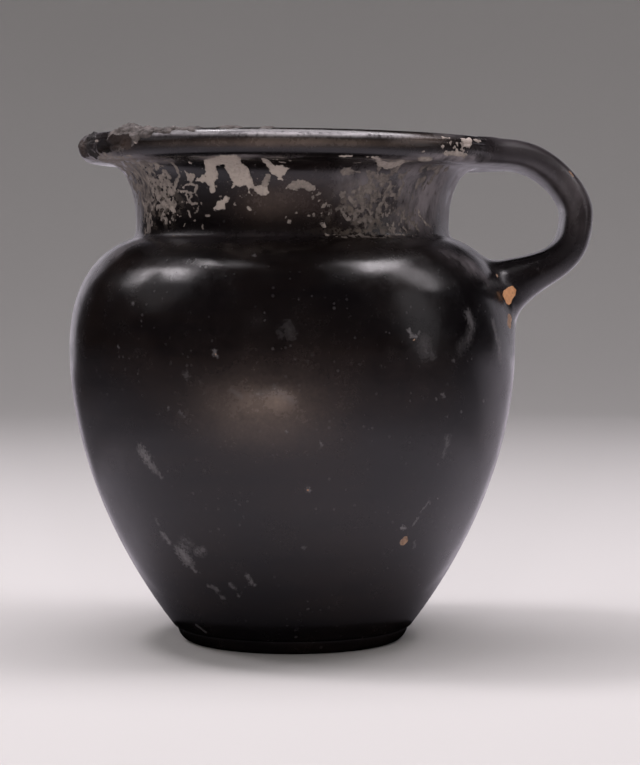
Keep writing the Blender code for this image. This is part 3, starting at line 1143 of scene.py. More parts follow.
@dataclass
class LimeDeposit:
    """The flaking lime on the neck and lip, a thin sheet with ragged edges."""

    form: Form
    pitch: float = 0.15 * MM
    thickness: float = 0.17 * MM
    sunk: float = 0.04 * MM
    first_turn: float = 182.0
    last_turn: float = 336.0
    top_climb: float = 29.8 * MM

    def flakes(self) -> list[Flake]:
        """The larger flakes, one by one."""
        return [
            Flake([(242.2, 16.5), (243.2, 17.5), (246.6, 18.8), (250.1, 22.6), (252.6, 23.4), (255.6, 23.6),
                   (256.5, 23.0), (254.9, 16.4), (256.5, 14.7), (257.1, 13.1), (258.0, 11.0), (260.9, 11.0),
                   (262.4, 10.8), (263.1, 9.5), (261.4, 8.9), (259.7, 8.9), (258.5, 9.5), (257.7, 10.4),
                   (256.6, 10.2), (256.4, 9.3), (255.5, 9.3), (255.3, 10.4), (254.7, 10.8), (252.9, 10.6),
                   (251.5, 10.8), (250.5, 10.4), (249.7, 10.4), (249.9, 11.2), (250.6, 11.6), (249.8, 12.4),
                   (249.0, 14.3), (248.8, 15.8), (247.0, 15.9), (245.9, 14.5), (245.5, 12.8), (244.0, 11.6),
                   (243.8, 9.8), (242.3, 9.5), (241.6, 9.8), (241.5, 11.0), (240.7, 11.6), (238.6, 11.6),
                   (236.8, 12.2), (237.7, 12.8), (240.5, 13.5), (241.6, 14.0), (241.9, 15.5)]),
            Flake([(261.7, 18.8), (262.9, 18.8), (263.9, 16.9), (264.7, 15.8), (267.6, 15.8), (268.7, 15.5),
                   (270.1, 15.1), (269.1, 14.3), (268.3, 13.3), (267.3, 13.1), (267.2, 12.2), (265.9, 12.4),
                   (265.6, 13.1), (263.8, 13.5), (262.8, 14.7), (262.2, 16.1), (261.5, 16.9)]),
            Flake([(262.1, 13.5), (263.6, 13.5), (263.7, 12.2), (262.3, 10.4), (260.3, 10.6),
                   (260.8, 12.0)], chalk=0.45),
            Flake([(248.1, 8.9), (249.0, 8.4), (247.9, 7.5), (247.0, 7.2), (247.2, 6.0), (245.9, 6.0), (242.5, 6.0),
                   (242.2, 6.5), (243.3, 7.0), (243.9, 7.7), (246.2, 8.2), (247.4, 8.9)]),
            Flake([(268.4, 11.2), (269.9, 11.6), (271.7, 12.4), (273.9, 12.4), (276.4, 11.6), (278.3, 11.2),
                   (278.5, 10.6), (278.2, 10.0), (276.5, 10.0), (274.0, 10.6), (271.5, 10.0), (269.4, 10.0),
                   (268.5, 10.6)], chalk=0.5),
            Flake([(269.0, 10.6), (271.2, 10.4)], 0.42, 0.9),
            Flake([(276.4, 10.6), (278.0, 10.4)], 0.36, 0.8),
            Flake([(233.5, 14.2), (234.8, 13.7), (237.6, 13.7), (236.3, 12.4), (234.8, 11.8), (233.0, 12.0),
                   (233.1, 12.9)], chalk=0.7),
            Flake([(231.8, 11.2), (234.0, 11.4), (236.2, 11.1), (236.3, 10.4), (234.8, 9.5)], 0.26, 0.6),
            Flake([(228.9, 9.8), (231.5, 9.8), (234.8, 9.5)], 0.34, 0.6),
            Flake([(216.7, 7.9), (219.5, 8.2), (221.8, 7.0), (225.0, 7.0), (225.4, 5.7), (223.9, 5.2), (222.2, 6.2),
                   (218.4, 7.0)], chalk=0.7),
            Flake([(282.2, 23.6), (283.0, 23.9), (285.6, 23.9), (286.3, 23.4), (285.0, 23.1),
                   (282.8, 23.1)], chalk=0.9),
            Flake([(289.7, 23.3), (290.2, 23.8), (293.5, 23.8), (297.7, 18.4), (301.1, 17.8), (303.0, 18.1),
                   (300.2, 22.4), (301.7, 22.4), (306.3, 18.1), (306.1, 16.4), (304.7, 15.8), (301.2, 15.3),
                   (298.4, 16.1), (295.8, 18.1), (292.0, 23.0)], chalk=0.8),
            Flake([(304.8, 23.8), (306.5, 24.4), (309.4, 24.2), (310.5, 22.8), (310.8, 19.8),
                   (306.4, 22.2)], chalk=0.6),
            Flake([(311.6, 25.4), (314.2, 26.0), (316.4, 26.0), (316.5, 26.7), (317.4, 26.7), (318.0, 26.0),
                   (321.2, 25.7), (322.5, 25.3), (319.5, 24.7), (314.6, 24.9), (312.7, 24.9)], chalk=0.65),
            Flake([(318.8, 29.0), (323.8, 29.2), (323.9, 27.8), (322.8, 27.1), (320.8, 26.9), (318.7, 26.9),
                   (319.8, 27.7), (319.1, 28.3)]),
            Flake([(311.7, 28.9), (313.4, 29.0), (314.9, 28.8), (314.4, 28.5), (311.7, 28.5)]),
            Flake([(325.4, 28.9), (328.4, 28.6)], 0.4, 0.7),
            Flake([(285.9, 14.7), (286.9, 15.5), (288.9, 15.5), (290.8, 14.8), (290.9, 13.8), (289.3, 13.3),
                   (287.2, 13.5)], chalk=0.3),
            Flake([(228.2, 17.9), (230.4, 16.8), (230.6, 14.8), (230.3, 13.5), (229.0, 12.4), (226.6, 10.8),
                   (225.1, 9.8)], 0.42, 0.4),
            Flake([(225.4, 9.8), (224.4, 9.4)], 0.62, 0.5),
            Flake([(231.4, 9.5), (231.9, 8.2), (233.4, 7.2), (235.7, 7.2)], 0.27, 0.5),
            Flake([(231.6, 6.0), (232.3, 4.7)], 0.2, 0.45),
            Flake([(264.9, 17.8), (266.3, 17.8)], 0.3, 0.7),
            Flake([(266.9, 16.8), (268.7, 16.5)], 0.16, 0.6),
            Flake([(269.9, 17.4)], 0.27, 0.7),
            Flake([(255.3, 6.5), (255.6, 6.2)], 0.37, 0.8),
            Flake([(268.3, 4.4)], 0.29, 0.5),
            Flake([(269.8, 3.8), (269.7, 3.6)], 0.4, 0.6),
            Flake([(271.9, 5.2)], 0.21, 0.5),
            Flake([(276.2, 4.7)], 0.27, 0.45),
            Flake([(281.7, 2.7)], 0.46, 0.7),
            Flake([(282.1, 1.0), (282.7, 0.6)], 0.37, 0.4),
            Flake([(278.9, 9.3), (279.8, 9.3)], 0.31, 0.4),
            Flake([(279.6, 7.9)], 0.25, 0.35),
            Flake([(282.5, 9.5)], 0.25, 0.35),
            Flake([(229.8, 11.2), (230.6, 10.8)], 0.27, 0.6),
            Flake([(229.0, 7.7)], 0.33, 0.65),
            Flake([(226.4, 4.9), (228.1, 4.7)], 0.19, 0.5),
            Flake([(229.0, 2.7), (230.2, 3.3)], 0.19, 0.4),
            Flake([(234.6, 5.4)], 0.23, 0.3),
            Flake([(234.5, 3.8)], 0.25, 0.4),
            Flake([(237.6, 2.7), (238.0, 2.1)], 0.23, 0.3),
            Flake([(239.3, 4.9), (240.4, 4.7)], 0.2, 0.3),
            Flake([(237.3, 16.6), (237.7, 16.2)], 0.27, 0.8),
            Flake([(224.7, 8.8), (224.3, 7.7)], 0.27, 0.45),
            Flake([(214.6, 6.7), (216.5, 7.0)], 0.5, 0.5),
            Flake([(218.7, 5.2)], 0.28, 0.5),
            Flake([(221.4, 5.4)], 0.28, 0.5),
            Flake([(223.8, 4.1)], 0.28, 0.45),
            Flake([(208.9, 4.9), (210.4, 3.8), (210.1, 3.1)], 0.37, 0.35),
            Flake([(224.8, 0.7), (229.5, 0.6), (233.1, 0.7)], 0.14, 0.3),
            Flake([(320.7, 6.5), (321.4, 5.4), (324.6, 4.1), (327.5, 3.1)], 0.21, 0.6),
            Flake([(326.1, 3.3), (328.8, 2.9)], 0.33, 0.5),
            Flake([(305.4, 25.6), (305.8, 25.6)], 0.23, 0.7),
            Flake([(308.5, 0.9), (312.8, 1.0)], 0.2, 0.45),
            Flake([(308.5, 3.6), (308.5, 3.0)], 0.25, 0.45),
            Flake([(289.6, 16.9), (291.5, 17.1)], 0.23, 0.25),
            Flake([(291.3, 14.5), (293.1, 14.3)], 0.27, 0.3),
            Flake([(227.7, 28.2), (227.3, 27.6), (227.3, 26.8)], 0.26, 0.8),
            Flake([(207.8, 27.8), (209.6, 27.7)], 0.21, 0.6),
        ]

    def crumb_fields(self) -> list[CrumbField]:
        """Where the lime is left as fine crumbs."""
        return [
            CrumbField(206.0, 15.0, 24.0, 12.0, 0.90, 0.46, 1.5, 0.36, 11.0),
            CrumbField(220.0, 12.0, 11.0, 8.0, 0.80, 0.50, 1.3, 0.50, 19.0),
            CrumbField(221.0, 6.0, 12.0, 5.0, 0.55, 0.50, 1.3, 0.44, 29.0),
            CrumbField(234.0, 8.5, 6.5, 7.5, 0.40, 0.42, 1.2, 0.42, 31.0),
            CrumbField(207.0, 5.0, 6.0, 7.0, 0.85, 0.45, 1.9, 0.28, 37.0),
            CrumbField(212.0, 22.0, 14.0, 4.0, 1.00, 0.55, 0.8, 0.36, 39.0),
            CrumbField(296.0, 7.0, 14.0, 6.5, 0.78, 0.45, 1.2, 0.26, 41.0),
            CrumbField(303.0, 12.5, 13.0, 6.0, 0.80, 0.70, 1.2, 0.24, 43.0),
            CrumbField(313.0, 3.5, 13.0, 4.5, 0.62, 0.45, 1.2, 0.26, 47.0),
            CrumbField(280.0, 6.5, 8.0, 6.0, 0.34, 0.40, 1.1, 0.28, 53.0),
            CrumbField(302.0, 20.5, 14.0, 3.6, 0.60, 0.50, 1.0, 0.48, 59.0),
            CrumbField(322.0, 14.0, 12.0, 9.0, 0.55, 0.90, 2.4, 0.22, 73.0),
            CrumbField(296.0, 0.4, 18.0, 1.2, 0.75, 0.50, 0.7, 0.30, 61.0),
            CrumbField(246.0, 21.0, 10.0, 3.0, 0.45, 0.40, 1.0, 0.45, 67.0),
            CrumbField(250.0, 13.0, 14.0, 8.0, 0.24, 0.38, 1.0, 0.50, 79.0),
            CrumbField(318.0, 26.5, 9.0, 2.4, 0.60, 0.42, 1.0, 0.6, 71.0),
        ]

    def cover(self, turns: np.ndarray, climbs: np.ndarray, radii: np.ndarray,
              points: np.ndarray) -> tuple[np.ndarray, np.ndarray]:
        """How far each point lies inside the sheet's edge, and how chalky the lime is there.

        Args:
            turns: the points' turns, in degrees.
            climbs: their climbs.
            radii: their radii.
            points: their places.

        Returns:
            One distance a point, in metres and negative outside the sheet, and one chalkiness a point.
        """
        inside, chalk = np.full(len(turns), -1.0), np.zeros(len(turns))
        for flake in self.flakes():
            corners = np.array(flake.corners, float)
            room = flake.half_width + 1.2
            spare = room * 1.75
            near = np.nonzero(
                (turns > corners[:, 0].min() - spare) & (turns < corners[:, 0].max() + spare)
                & (climbs > (corners[:, 1].min() - room) * MM) & (climbs < (corners[:, 1].max() + room) * MM)
            )[0]
            found = flake.inside(turns[near], climbs[near], radii[near])
            better = found > inside[near]
            inside[near[better]] = found[better]
            chalk[near[better]] = flake.chalk
        near = inside > -1.0 * MM
        ragged = 0.30 * MM * rough(points[near], 1.3 * MM, 5.0, 2) + 0.27 * MM * rough(points[near], 0.5 * MM, 7.0, 2)
        inside[near] += ragged
        for field in self.crumb_fields():
            reach = np.hypot((turns - field.turn) / field.half_turn, (climbs / MM - field.climb) / field.half_climb)
            some = np.nonzero(reach < 1.15)[0]
            weight = fall_off(reach[some], 0.4, 1.15)
            stretched = points[some] * np.array([1.0, 1.0, 1.0 / field.stretch])
            pattern = rough(stretched, 2.2 * field.grain * MM, field.seed, 3)
            found = (pattern - 0.62 + 0.98 * field.cover * weight + 0.3 * (weight - 1.0)) * 1.1 * field.grain * MM
            better = found > inside[some]
            inside[some[better]] = found[better]
            chalk[some[better]] = field.chalk
        return inside, chalk

    def build(self, vessel: bpy.types.Object) -> bpy.types.Object:
        """Lays a fine grid on the neck, keeps it where lime clings and raises it there.

        Args:
            vessel: the finished vessel that it lies on.

        Returns:
            The sheet of lime.
        """
        low = -1.6 * MM
        wide = radians(self.last_turn - self.first_turn) * 38 * MM
        columns, rows = int(wide / self.pitch), int((self.top_climb - low) / self.pitch)
        bpy.ops.mesh.primitive_grid_add(x_subdivisions=columns, y_subdivisions=rows, size=1.0)
        sheet = bpy.context.object
        sheet.name = "lime_deposit"
        flat = points_of(sheet)
        turns = self.first_turn + (flat[:, 0] + 0.5) * (self.last_turn - self.first_turn)
        climbs = low + (flat[:, 1] + 0.5) * (self.top_climb - low)
        radii = np.interp(climbs, self.form.climbs, self.form.reach[:, 0])
        heights = np.interp(climbs, self.form.climbs, self.form.reach[:, 1])
        angle = np.radians(turns)
        points = self.form.sag(np.stack([radii * np.cos(angle), radii * np.sin(angle), heights], axis=1))
        inside, chalk = self.cover(turns, climbs, radii, points)
        tree = surface_of(vessel)
        kept = inside > -0.3 * MM
        grain = np.zeros(len(points))
        grain[kept] = rough(points[kept], 0.6 * MM, 23.0, 2)
        tall = self.thickness * (0.35 + 0.65 * chalk)
        stand = tall * fall_off(-inside, -0.22 * MM, 0.05 * MM) * (1 + 0.35 * grain) - self.sunk
        for index in np.nonzero(kept)[0]:
            hit, normal, _, distance = tree.find_nearest(Vector(points[index]), 3 * MM)
            if hit is None or distance > 0.8 * MM:
                inside[index] = -1.0
                continue
            points[index] = hit + normal * stand[index]
        set_points(sheet, points)
        heart = 0.70 + 0.30 * fall_off(-inside, -0.45 * MM, -0.05 * MM)
        pale = np.clip(chalk * heart + 0.26 * grain * chalk, 0.0, 1.0)
        write_values(sheet, "chalk", pale)
        mesh = begin_edit(sheet, "VERT")
        bpy.ops.mesh.select_all(action="DESELECT")
        mesh.verts.ensure_lookup_table()
        for index in np.nonzero(inside <= -0.1 * MM)[0]:
            mesh.verts[index].select_set(True)
        bmesh.update_edit_mesh(sheet.data)
        bpy.ops.mesh.delete(type="VERT")
        bpy.ops.mesh.select_all(action="SELECT")
        bpy.ops.mesh.delete_loose(use_verts=True, use_edges=True, use_faces=False)
        end_edit()
        self.face_outwards(sheet)
        sheet.data.shade_smooth()
        return sheet

    def face_outwards(self, sheet: bpy.types.Object) -> None:
        """Turns the sheet over if it looks into the vessel."""
        points, normals = points_of(sheet), normals_of(sheet)
        if (points[:, :2] * normals[:, :2]).sum() < 0:
            begin_edit(sheet, "FACE")
            bpy.ops.mesh.select_all(action="SELECT")
            bpy.ops.mesh.flip_normals()
            end_edit()


# ---------------------------------------------------------------- node groups and finishes


@dataclass(frozen=True)
class Tone:
    """A colour in linear light."""

    red: float
    green: float
    blue: float

    def rgba(self) -> tuple[float, float, float, float]:
        """The colour with full alpha."""
        return (self.red, self.green, self.blue, 1.0)


class Board:
    """A node tree with short ways to add and link nodes."""

    def __init__(self, tree: bpy.types.NodeTree) -> None:
        """Takes the tree that nodes go into."""
        self.tree = tree
        self.column = 0

    def node(self, kind: str, **values: object) -> bpy.types.Node:
        """Adds a node and sets its plain properties."""
        made = self.tree.nodes.new(kind)
        made.location = (220 * (self.column % 12) - 2600, -260 * (self.column // 12))
        self.column += 1
        for name, value in values.items():
            setattr(made, name, value)
        return made

    def feed(self, socket: bpy.types.NodeSocket, source: object) -> None:
        """Links a socket to another, or sets its value."""
        if isinstance(source, bpy.types.NodeSocket):
            self.tree.links.new(source, socket)
        else:
            socket.default_value = source

    def maths(self, operation: str, first: object, second: object = 0.0, clamp: bool = False) -> bpy.types.NodeSocket:
        """A Math node's result."""
        made = self.node("ShaderNodeMath", operation=operation, use_clamp=clamp)
        self.feed(made.inputs[0], first)
        self.feed(made.inputs[1], second)
        return made.outputs[0]

    def attribute(self, name: str, kind: str) -> bpy.types.NodeSocket:
        """A mesh attribute's value, as Fac or as Vector."""
        return self.node("ShaderNodeAttribute", attribute_name=name).outputs[kind]

    def times(self, first: object, second: object) -> bpy.types.NodeSocket:
        """A product."""
        return self.maths("MULTIPLY", first, second)

    def plus(self, first: object, second: object, clamp: bool = False) -> bpy.types.NodeSocket:
        """A sum."""
        return self.maths("ADD", first, second, clamp)

    def minus(self, first: object, second: object, clamp: bool = False) -> bpy.types.NodeSocket:
        """A difference."""
        return self.maths("SUBTRACT", first, second, clamp)

    def most(self, first: object, second: object) -> bpy.types.NodeSocket:
        """The larger of two."""
        return self.maths("MAXIMUM", first, second)

    def mixed(self, first: object, share: float, second: object, rest: float) -> bpy.types.NodeSocket:
        """Two values added up by their shares."""
        return self.plus(self.times(first, share), self.times(second, rest))

    def vector(self, operation: str, first: object, second: object = (0.0, 0.0, 0.0)) -> bpy.types.NodeSocket:
        """A Vector Math node's vector."""
        made = self.node("ShaderNodeVectorMath", operation=operation)
        self.feed(made.inputs[0], first)
        self.feed(made.inputs[1], second)
        return made.outputs[0]

    def measure(self, operation: str, first: object, second: object = (0.0, 0.0, 0.0)) -> bpy.types.NodeSocket:
        """A Vector Math node's number, such as a length or a dot product."""
        made = self.node("ShaderNodeVectorMath", operation=operation)
        self.feed(made.inputs[0], first)
        self.feed(made.inputs[1], second)
        return made.outputs["Value"]

    def ramp(self, value: object, low: float, high: float, to_low: float = 0.0,
             to_high: float = 1.0) -> bpy.types.NodeSocket:
        """A smooth step from one value to another."""
        made = self.node("ShaderNodeMapRange", interpolation_type="SMOOTHSTEP")
        self.feed(made.inputs["Value"], value)
        for name, number in (("From Min", low), ("From Max", high), ("To Min", to_low), ("To Max", to_high)):
            made.inputs[name].default_value = number
        return made.outputs["Result"]

    def blend(self, factor: object, first: object, second: object) -> bpy.types.NodeSocket:
        """A mix of two colours."""
        made = self.node("ShaderNodeMix", data_type="RGBA")
        self.feed(made.inputs["Factor"], factor)
        self.feed(made.inputs["A"], first)
        self.feed(made.inputs["B"], second)
        return made.outputs["Result"]

    def cloud(self, where: object, scale: float, detail: float = 3.0,
              roughness: float = 0.55) -> bpy.types.NodeSocket:
        """A noise texture's value."""
        made = self.node("ShaderNodeTexNoise")
        self.feed(made.inputs["Vector"], where)
        made.inputs["Scale"].default_value = scale
        made.inputs["Detail"].default_value = detail
        made.inputs["Roughness"].default_value = roughness
        return made.outputs["Fac"]

    def stretch(self, where: object, scale: tuple[float, float, float]) -> bpy.types.NodeSocket:
        """The coordinates scaled."""
        made = self.node("ShaderNodeMapping")
        self.feed(made.inputs["Vector"], where)
        made.inputs["Scale"].default_value = scale
        return made.outputs["Vector"]


class NodeGroups:
    """The effects that the finishes share, each built once."""

    def __init__(self) -> None:
        """Builds every group."""
        self.speckle = self.make_speckle()
        self.scuff = self.make_scuff()
        self.grit = self.make_grit()

    @staticmethod
    def open_group(name: str, inputs: Sequence[tuple[str, str, object]],
                   outputs: Sequence[tuple[str, str]]) -> tuple[Board, bpy.types.Node, bpy.types.Node]:
        """Starts a node group with named sockets.

        Args:
            name: the group's name.
            inputs: name, socket type and default of each input.
            outputs: name and socket type of each output.

        Returns:
            Its board, its input node and its output node.
        """
        tree = bpy.data.node_groups.new(name, "ShaderNodeTree")
        for label, kind, value in inputs:
            socket = tree.interface.new_socket(name=label, in_out="INPUT", socket_type=kind)
            socket.default_value = value
        for label, kind in outputs:
            tree.interface.new_socket(name=label, in_out="OUTPUT", socket_type=kind)
        board = Board(tree)
        return board, board.node("NodeGroupInput"), board.node("NodeGroupOutput")

    def make_speckle(self) -> bpy.types.NodeTree:
        """Fine specks: small round spots of many sizes in some of the cells."""
        board, given, result = self.open_group(
            "speckle",
            [
                ("Vector", "NodeSocketVector", (0, 0, 0)), ("Scale", "NodeSocketFloat", 900.0),
                ("Amount", "NodeSocketFloat", 0.3),
            ],
            [("Mask", "NodeSocketFloat")],
        )
        cell = board.node("ShaderNodeTexVoronoi", feature="F1")
        board.feed(cell.inputs["Vector"], given.outputs["Vector"])
        board.feed(cell.inputs["Scale"], given.outputs["Scale"])
        apart = board.node("ShaderNodeSeparateColor")
        board.feed(apart.inputs["Color"], cell.outputs["Color"])
        chosen = board.maths("LESS_THAN", apart.outputs["Red"], given.outputs["Amount"])
        size = board.times(apart.outputs["Green"], 0.42)
        spot = board.ramp(board.minus(size, cell.outputs["Distance"]), -0.06, 0.1)
        board.feed(result.inputs["Mask"], board.times(spot, chosen))
        return board.tree

    def make_scuff(self) -> bpy.types.NodeTree:
        """A rubbed stroke between two places, with a broken edge."""
        board, given, result = self.open_group(
            "scuff",
            [
                ("Vector", "NodeSocketVector", (0, 0, 0)), ("Start", "NodeSocketVector", (0, 0, 0)),
                ("End", "NodeSocketVector", (0, 0, 0)), ("Shape", "NodeSocketVector", (0.001, 0.4, 1.0)),
            ],
            [("Mask", "NodeSocketFloat")],
        )
        run = board.vector("SUBTRACT", given.outputs["End"], given.outputs["Start"])
        here = board.vector("SUBTRACT", given.outputs["Vector"], given.outputs["Start"])
        length = board.plus(board.measure("DOT_PRODUCT", run, run), 1e-9)
        share = board.maths("DIVIDE", board.measure("DOT_PRODUCT", here, run), length, clamp=True)
        scaled = board.node("ShaderNodeVectorMath", operation="SCALE")
        board.feed(scaled.inputs[0], run)
        board.feed(scaled.inputs["Scale"], share)
        away = board.measure("LENGTH", board.vector("SUBTRACT", here, scaled.outputs[0]))
        shape = board.node("ShaderNodeSeparateXYZ")
        board.feed(shape.inputs[0], given.outputs["Shape"])
        edge = board.maths("DIVIDE", away, shape.outputs["X"])
        broken = board.cloud(given.outputs["Vector"], 1700.0, 4.0, 0.72)
        shift = board.times(board.minus(broken, 0.47), 6.0)
        inwards = board.minus(1.0, board.plus(edge, shift))
        mask = board.plus(0.5, board.maths("DIVIDE", inwards, board.times(shape.outputs["Y"], 2.0)), clamp=True)
        board.feed(result.inputs["Mask"], board.times(mask, shape.outputs["Z"]))
        return board.tree

    def make_grit(self) -> bpy.types.NodeTree:
        """The tooth of lime, crust and bare clay: a mask for colour and a height for bump."""
        board, given, result = self.open_group(
            "grit",
            [("Vector", "NodeSocketVector", (0, 0, 0)), ("Scale", "NodeSocketFloat", 900.0)],
            [("Mask", "NodeSocketFloat"), ("Height", "NodeSocketFloat")],
        )
        scaled = board.node("ShaderNodeVectorMath", operation="SCALE")
        board.feed(scaled.inputs[0], given.outputs["Vector"])
        board.feed(scaled.inputs["Scale"], given.outputs["Scale"])
        coarse = board.cloud(scaled.outputs[0], 1.0, 4.0, 0.6)
        fine = board.cloud(scaled.outputs[0], 3.7, 2.0, 0.6)
        both = board.mixed(coarse, 0.65, fine, 0.35)
        board.feed(result.inputs["Mask"], board.ramp(both, 0.36, 0.64))
        board.feed(result.inputs["Height"], both)
        return board.tree


def new_material(name: str) -> tuple[bpy.types.Material, Board, bpy.types.Node, bpy.types.NodeSocket]:
    """Starts a material.

    Args:
        name: its name.

    Returns:
        The material, its board, its Principled shader and its Object coordinates.
    """
    material = bpy.data.materials.new(name)
    material.use_nodes = True
    board = Board(material.node_tree)
    shader = material.node_tree.nodes["Principled BSDF"]
    where = board.node("ShaderNodeTexCoord").outputs["Object"]
    return material, board, shader, where


def use_group(board: Board, group: bpy.types.NodeTree, **inputs: object) -> bpy.types.Node:
    """Places a node group and feeds its inputs, written with _ for a space."""
    made = board.node("ShaderNodeGroup", node_tree=group)
    for name, value in inputs.items():
        board.feed(made.inputs[name.replace("_", " ")], value)
    return made


@dataclass(frozen=True)
class BlackGloss:
    """The black gloss, with its mottling, film, soil, worn patch and scuffs, and painted highlight and sheen."""

    black: Tone = Tone(0.0042, 0.0034, 0.0040)
    brown_black: Tone = Tone(0.0100, 0.0068, 0.0060)
    brown: Tone = Tone(0.036, 0.0225, 0.0185)
    # worn gloss, also the colour of the painted warm sheen on the belly
    worn: Tone = Tone(0.26, 0.196, 0.160)
    film: Tone = Tone(0.22, 0.195, 0.205)
    soil: Tone = Tone(0.15, 0.122, 0.10)
    rub: Tone = Tone(0.20, 0.188, 0.195)
    # the colour of the painted highlight on the lip's crown
    rim: Tone = Tone(0.62, 0.59, 0.625)
    # grey haze, also the colour of the painted sheen on the strap and at the crease
    haze: Tone = Tone(0.036, 0.030, 0.033)
    gloss: float = 0.205
    matt: float = 0.58

    def build(self, groups: NodeGroups) -> bpy.types.Material:
        """Makes the material from the shared groups and the vessel's stains, painted highlight and sheen, and rubs.
        """
        material, board, shader, where = new_material("black_gloss")
        slow = board.cloud(where, 38.0, 2.0)
        middle = board.cloud(where, 160.0, 4.0, 0.6)
        fine = board.cloud(where, 1300.0, 3.0, 0.65)
        brushed = board.cloud(board.stretch(where, (14.0, 14.0, 190.0)), 1.0, 3.0, 0.6)
        mask = {stain: board.attribute(stain.value, "Fac") for stain in StainAndSheen}
        uneven = board.mixed(slow, 0.55, brushed, 0.45)
        colour = board.blend(board.ramp(uneven, 0.40, 0.66), self.black.rgba(), self.brown_black.rgba())
        browned = board.times(mask[StainAndSheen.BROWN], board.ramp(board.mixed(middle, 0.6, fine, 0.4), 0.3, 0.66, 0.3, 1.0))
        colour = board.blend(browned, colour, self.brown.rgba())

        # Worn patches, and the painted warm sheen on the belly front.
        flecks = board.mixed(fine, 0.55, middle, 0.45)
        worn_and_sheen_mask = board.times(mask[StainAndSheen.WORN_AND_SHEEN], board.ramp(flecks, 0.24, 0.80, 0.50, 1.0))
        colour = board.blend(worn_and_sheen_mask, colour, self.worn.rgba())

        veil = board.cloud(board.stretch(where, (1.0, 1.0, 0.45)), 260.0, 5.0, 0.7)
        film_mask = board.times(board.ramp(mask[StainAndSheen.FILM], 0.06, 0.9), board.ramp(veil, 0.36, 0.62, 0.22, 1.0))
        colour = board.blend(film_mask, colour, self.film.rgba())
        soil_cloud = board.plus(board.times(board.cloud(where, 560.0, 4.0, 0.72), 0.7), board.times(middle, 0.3))
        soil_mask = board.times(board.ramp(mask[StainAndSheen.SOIL], 0.1, 0.9), board.ramp(soil_cloud, 0.46, 0.58))
        colour = board.blend(soil_mask, colour, self.soil.rgba())

        dull_cloud = board.ramp(board.cloud(where, 700.0, 4.0, 0.65), 0.34, 0.66, 0.12, 1.0)
        dull_mask = board.times(mask[StainAndSheen.DULL], dull_cloud)
        colour = board.blend(board.times(dull_mask, 0.55), colour, self.film.rgba())

        rubs = 0.0
        for slot in range(Rubs.SLOTS):
            parts = ("Start", "End", "Shape")
            given = {part: board.attribute(f"rub_{part.lower()}_{slot}", "Vector") for part in parts}
            made = use_group(board, groups.scuff, Vector=where, **given)
            rubs = board.most(rubs, made.outputs["Mask"])
        # Painted highlight along the lip's crown.
        rim_highlight_cloud = board.ramp(board.mixed(fine, 0.5, middle, 0.5), 0.36, 0.56, 0.12, 1.0)
        rim_highlight_mask = board.times(mask[StainAndSheen.RIM_HIGHLIGHT], rim_highlight_cloud)
        # Grey haze, and painted sheen on the strap and at the crease.
        haze_and_sheen_mask = board.times(mask[StainAndSheen.HAZE_AND_SHEEN], board.ramp(middle, 0.32, 0.62, 0.62, 1.0))
        colour = board.blend(haze_and_sheen_mask, colour, self.haze.rgba())
        colour = board.blend(rubs, colour, self.rub.rgba())
        colour = board.blend(rim_highlight_mask, colour, self.rim.rgba())

        dust = use_group(board, groups.speckle, Vector=where, Scale=1150.0, Amount=0.22).outputs["Mask"]
        dust = board.times(dust, board.ramp(board.cloud(where, 110.0, 3.0), 0.40, 0.66, 0.15, 1.0))
        colour = board.blend(board.times(dust, 0.13), colour, self.rub.rgba())
        board.feed(shader.inputs["Base Color"], colour)

        covered = board.most(board.most(film_mask, soil_mask), board.most(rubs, mask[StainAndSheen.DULL]))
        covered = board.most(covered, board.times(board.plus(worn_and_sheen_mask, haze_and_sheen_mask, clamp=True), 0.45))
        sheen = board.ramp(middle, 0.3, 0.7, self.gloss - 0.03, self.gloss + 0.07)
        tooth = board.plus(sheen, board.times(board.minus(fine, 0.5), 0.14))
        made = board.node("ShaderNodeMix", data_type="FLOAT")
        board.feed(made.inputs["Factor"], covered)
        board.feed(made.inputs["A"], tooth)
        made.inputs["B"].default_value = self.matt
        board.feed(shader.inputs["Roughness"], made.outputs["Result"])

        lines = board.cloud(board.stretch(where, (12.0, 12.0, 420.0)), 1.0, 2.0, 0.5)
        pebbles = board.cloud(where, 620.0, 4.0, 0.6)
        height = board.mixed(lines, 0.3, pebbles, 0.6)
        height = board.plus(height, board.times(covered, 0.6))
        bump = board.node("ShaderNodeBump")
        bump.inputs["Strength"].default_value = 0.5
        bump.inputs["Distance"].default_value = 0.05 * MM
        board.feed(bump.inputs["Height"], height)
        board.feed(shader.inputs["Normal"], bump.outputs["Normal"])
        return material


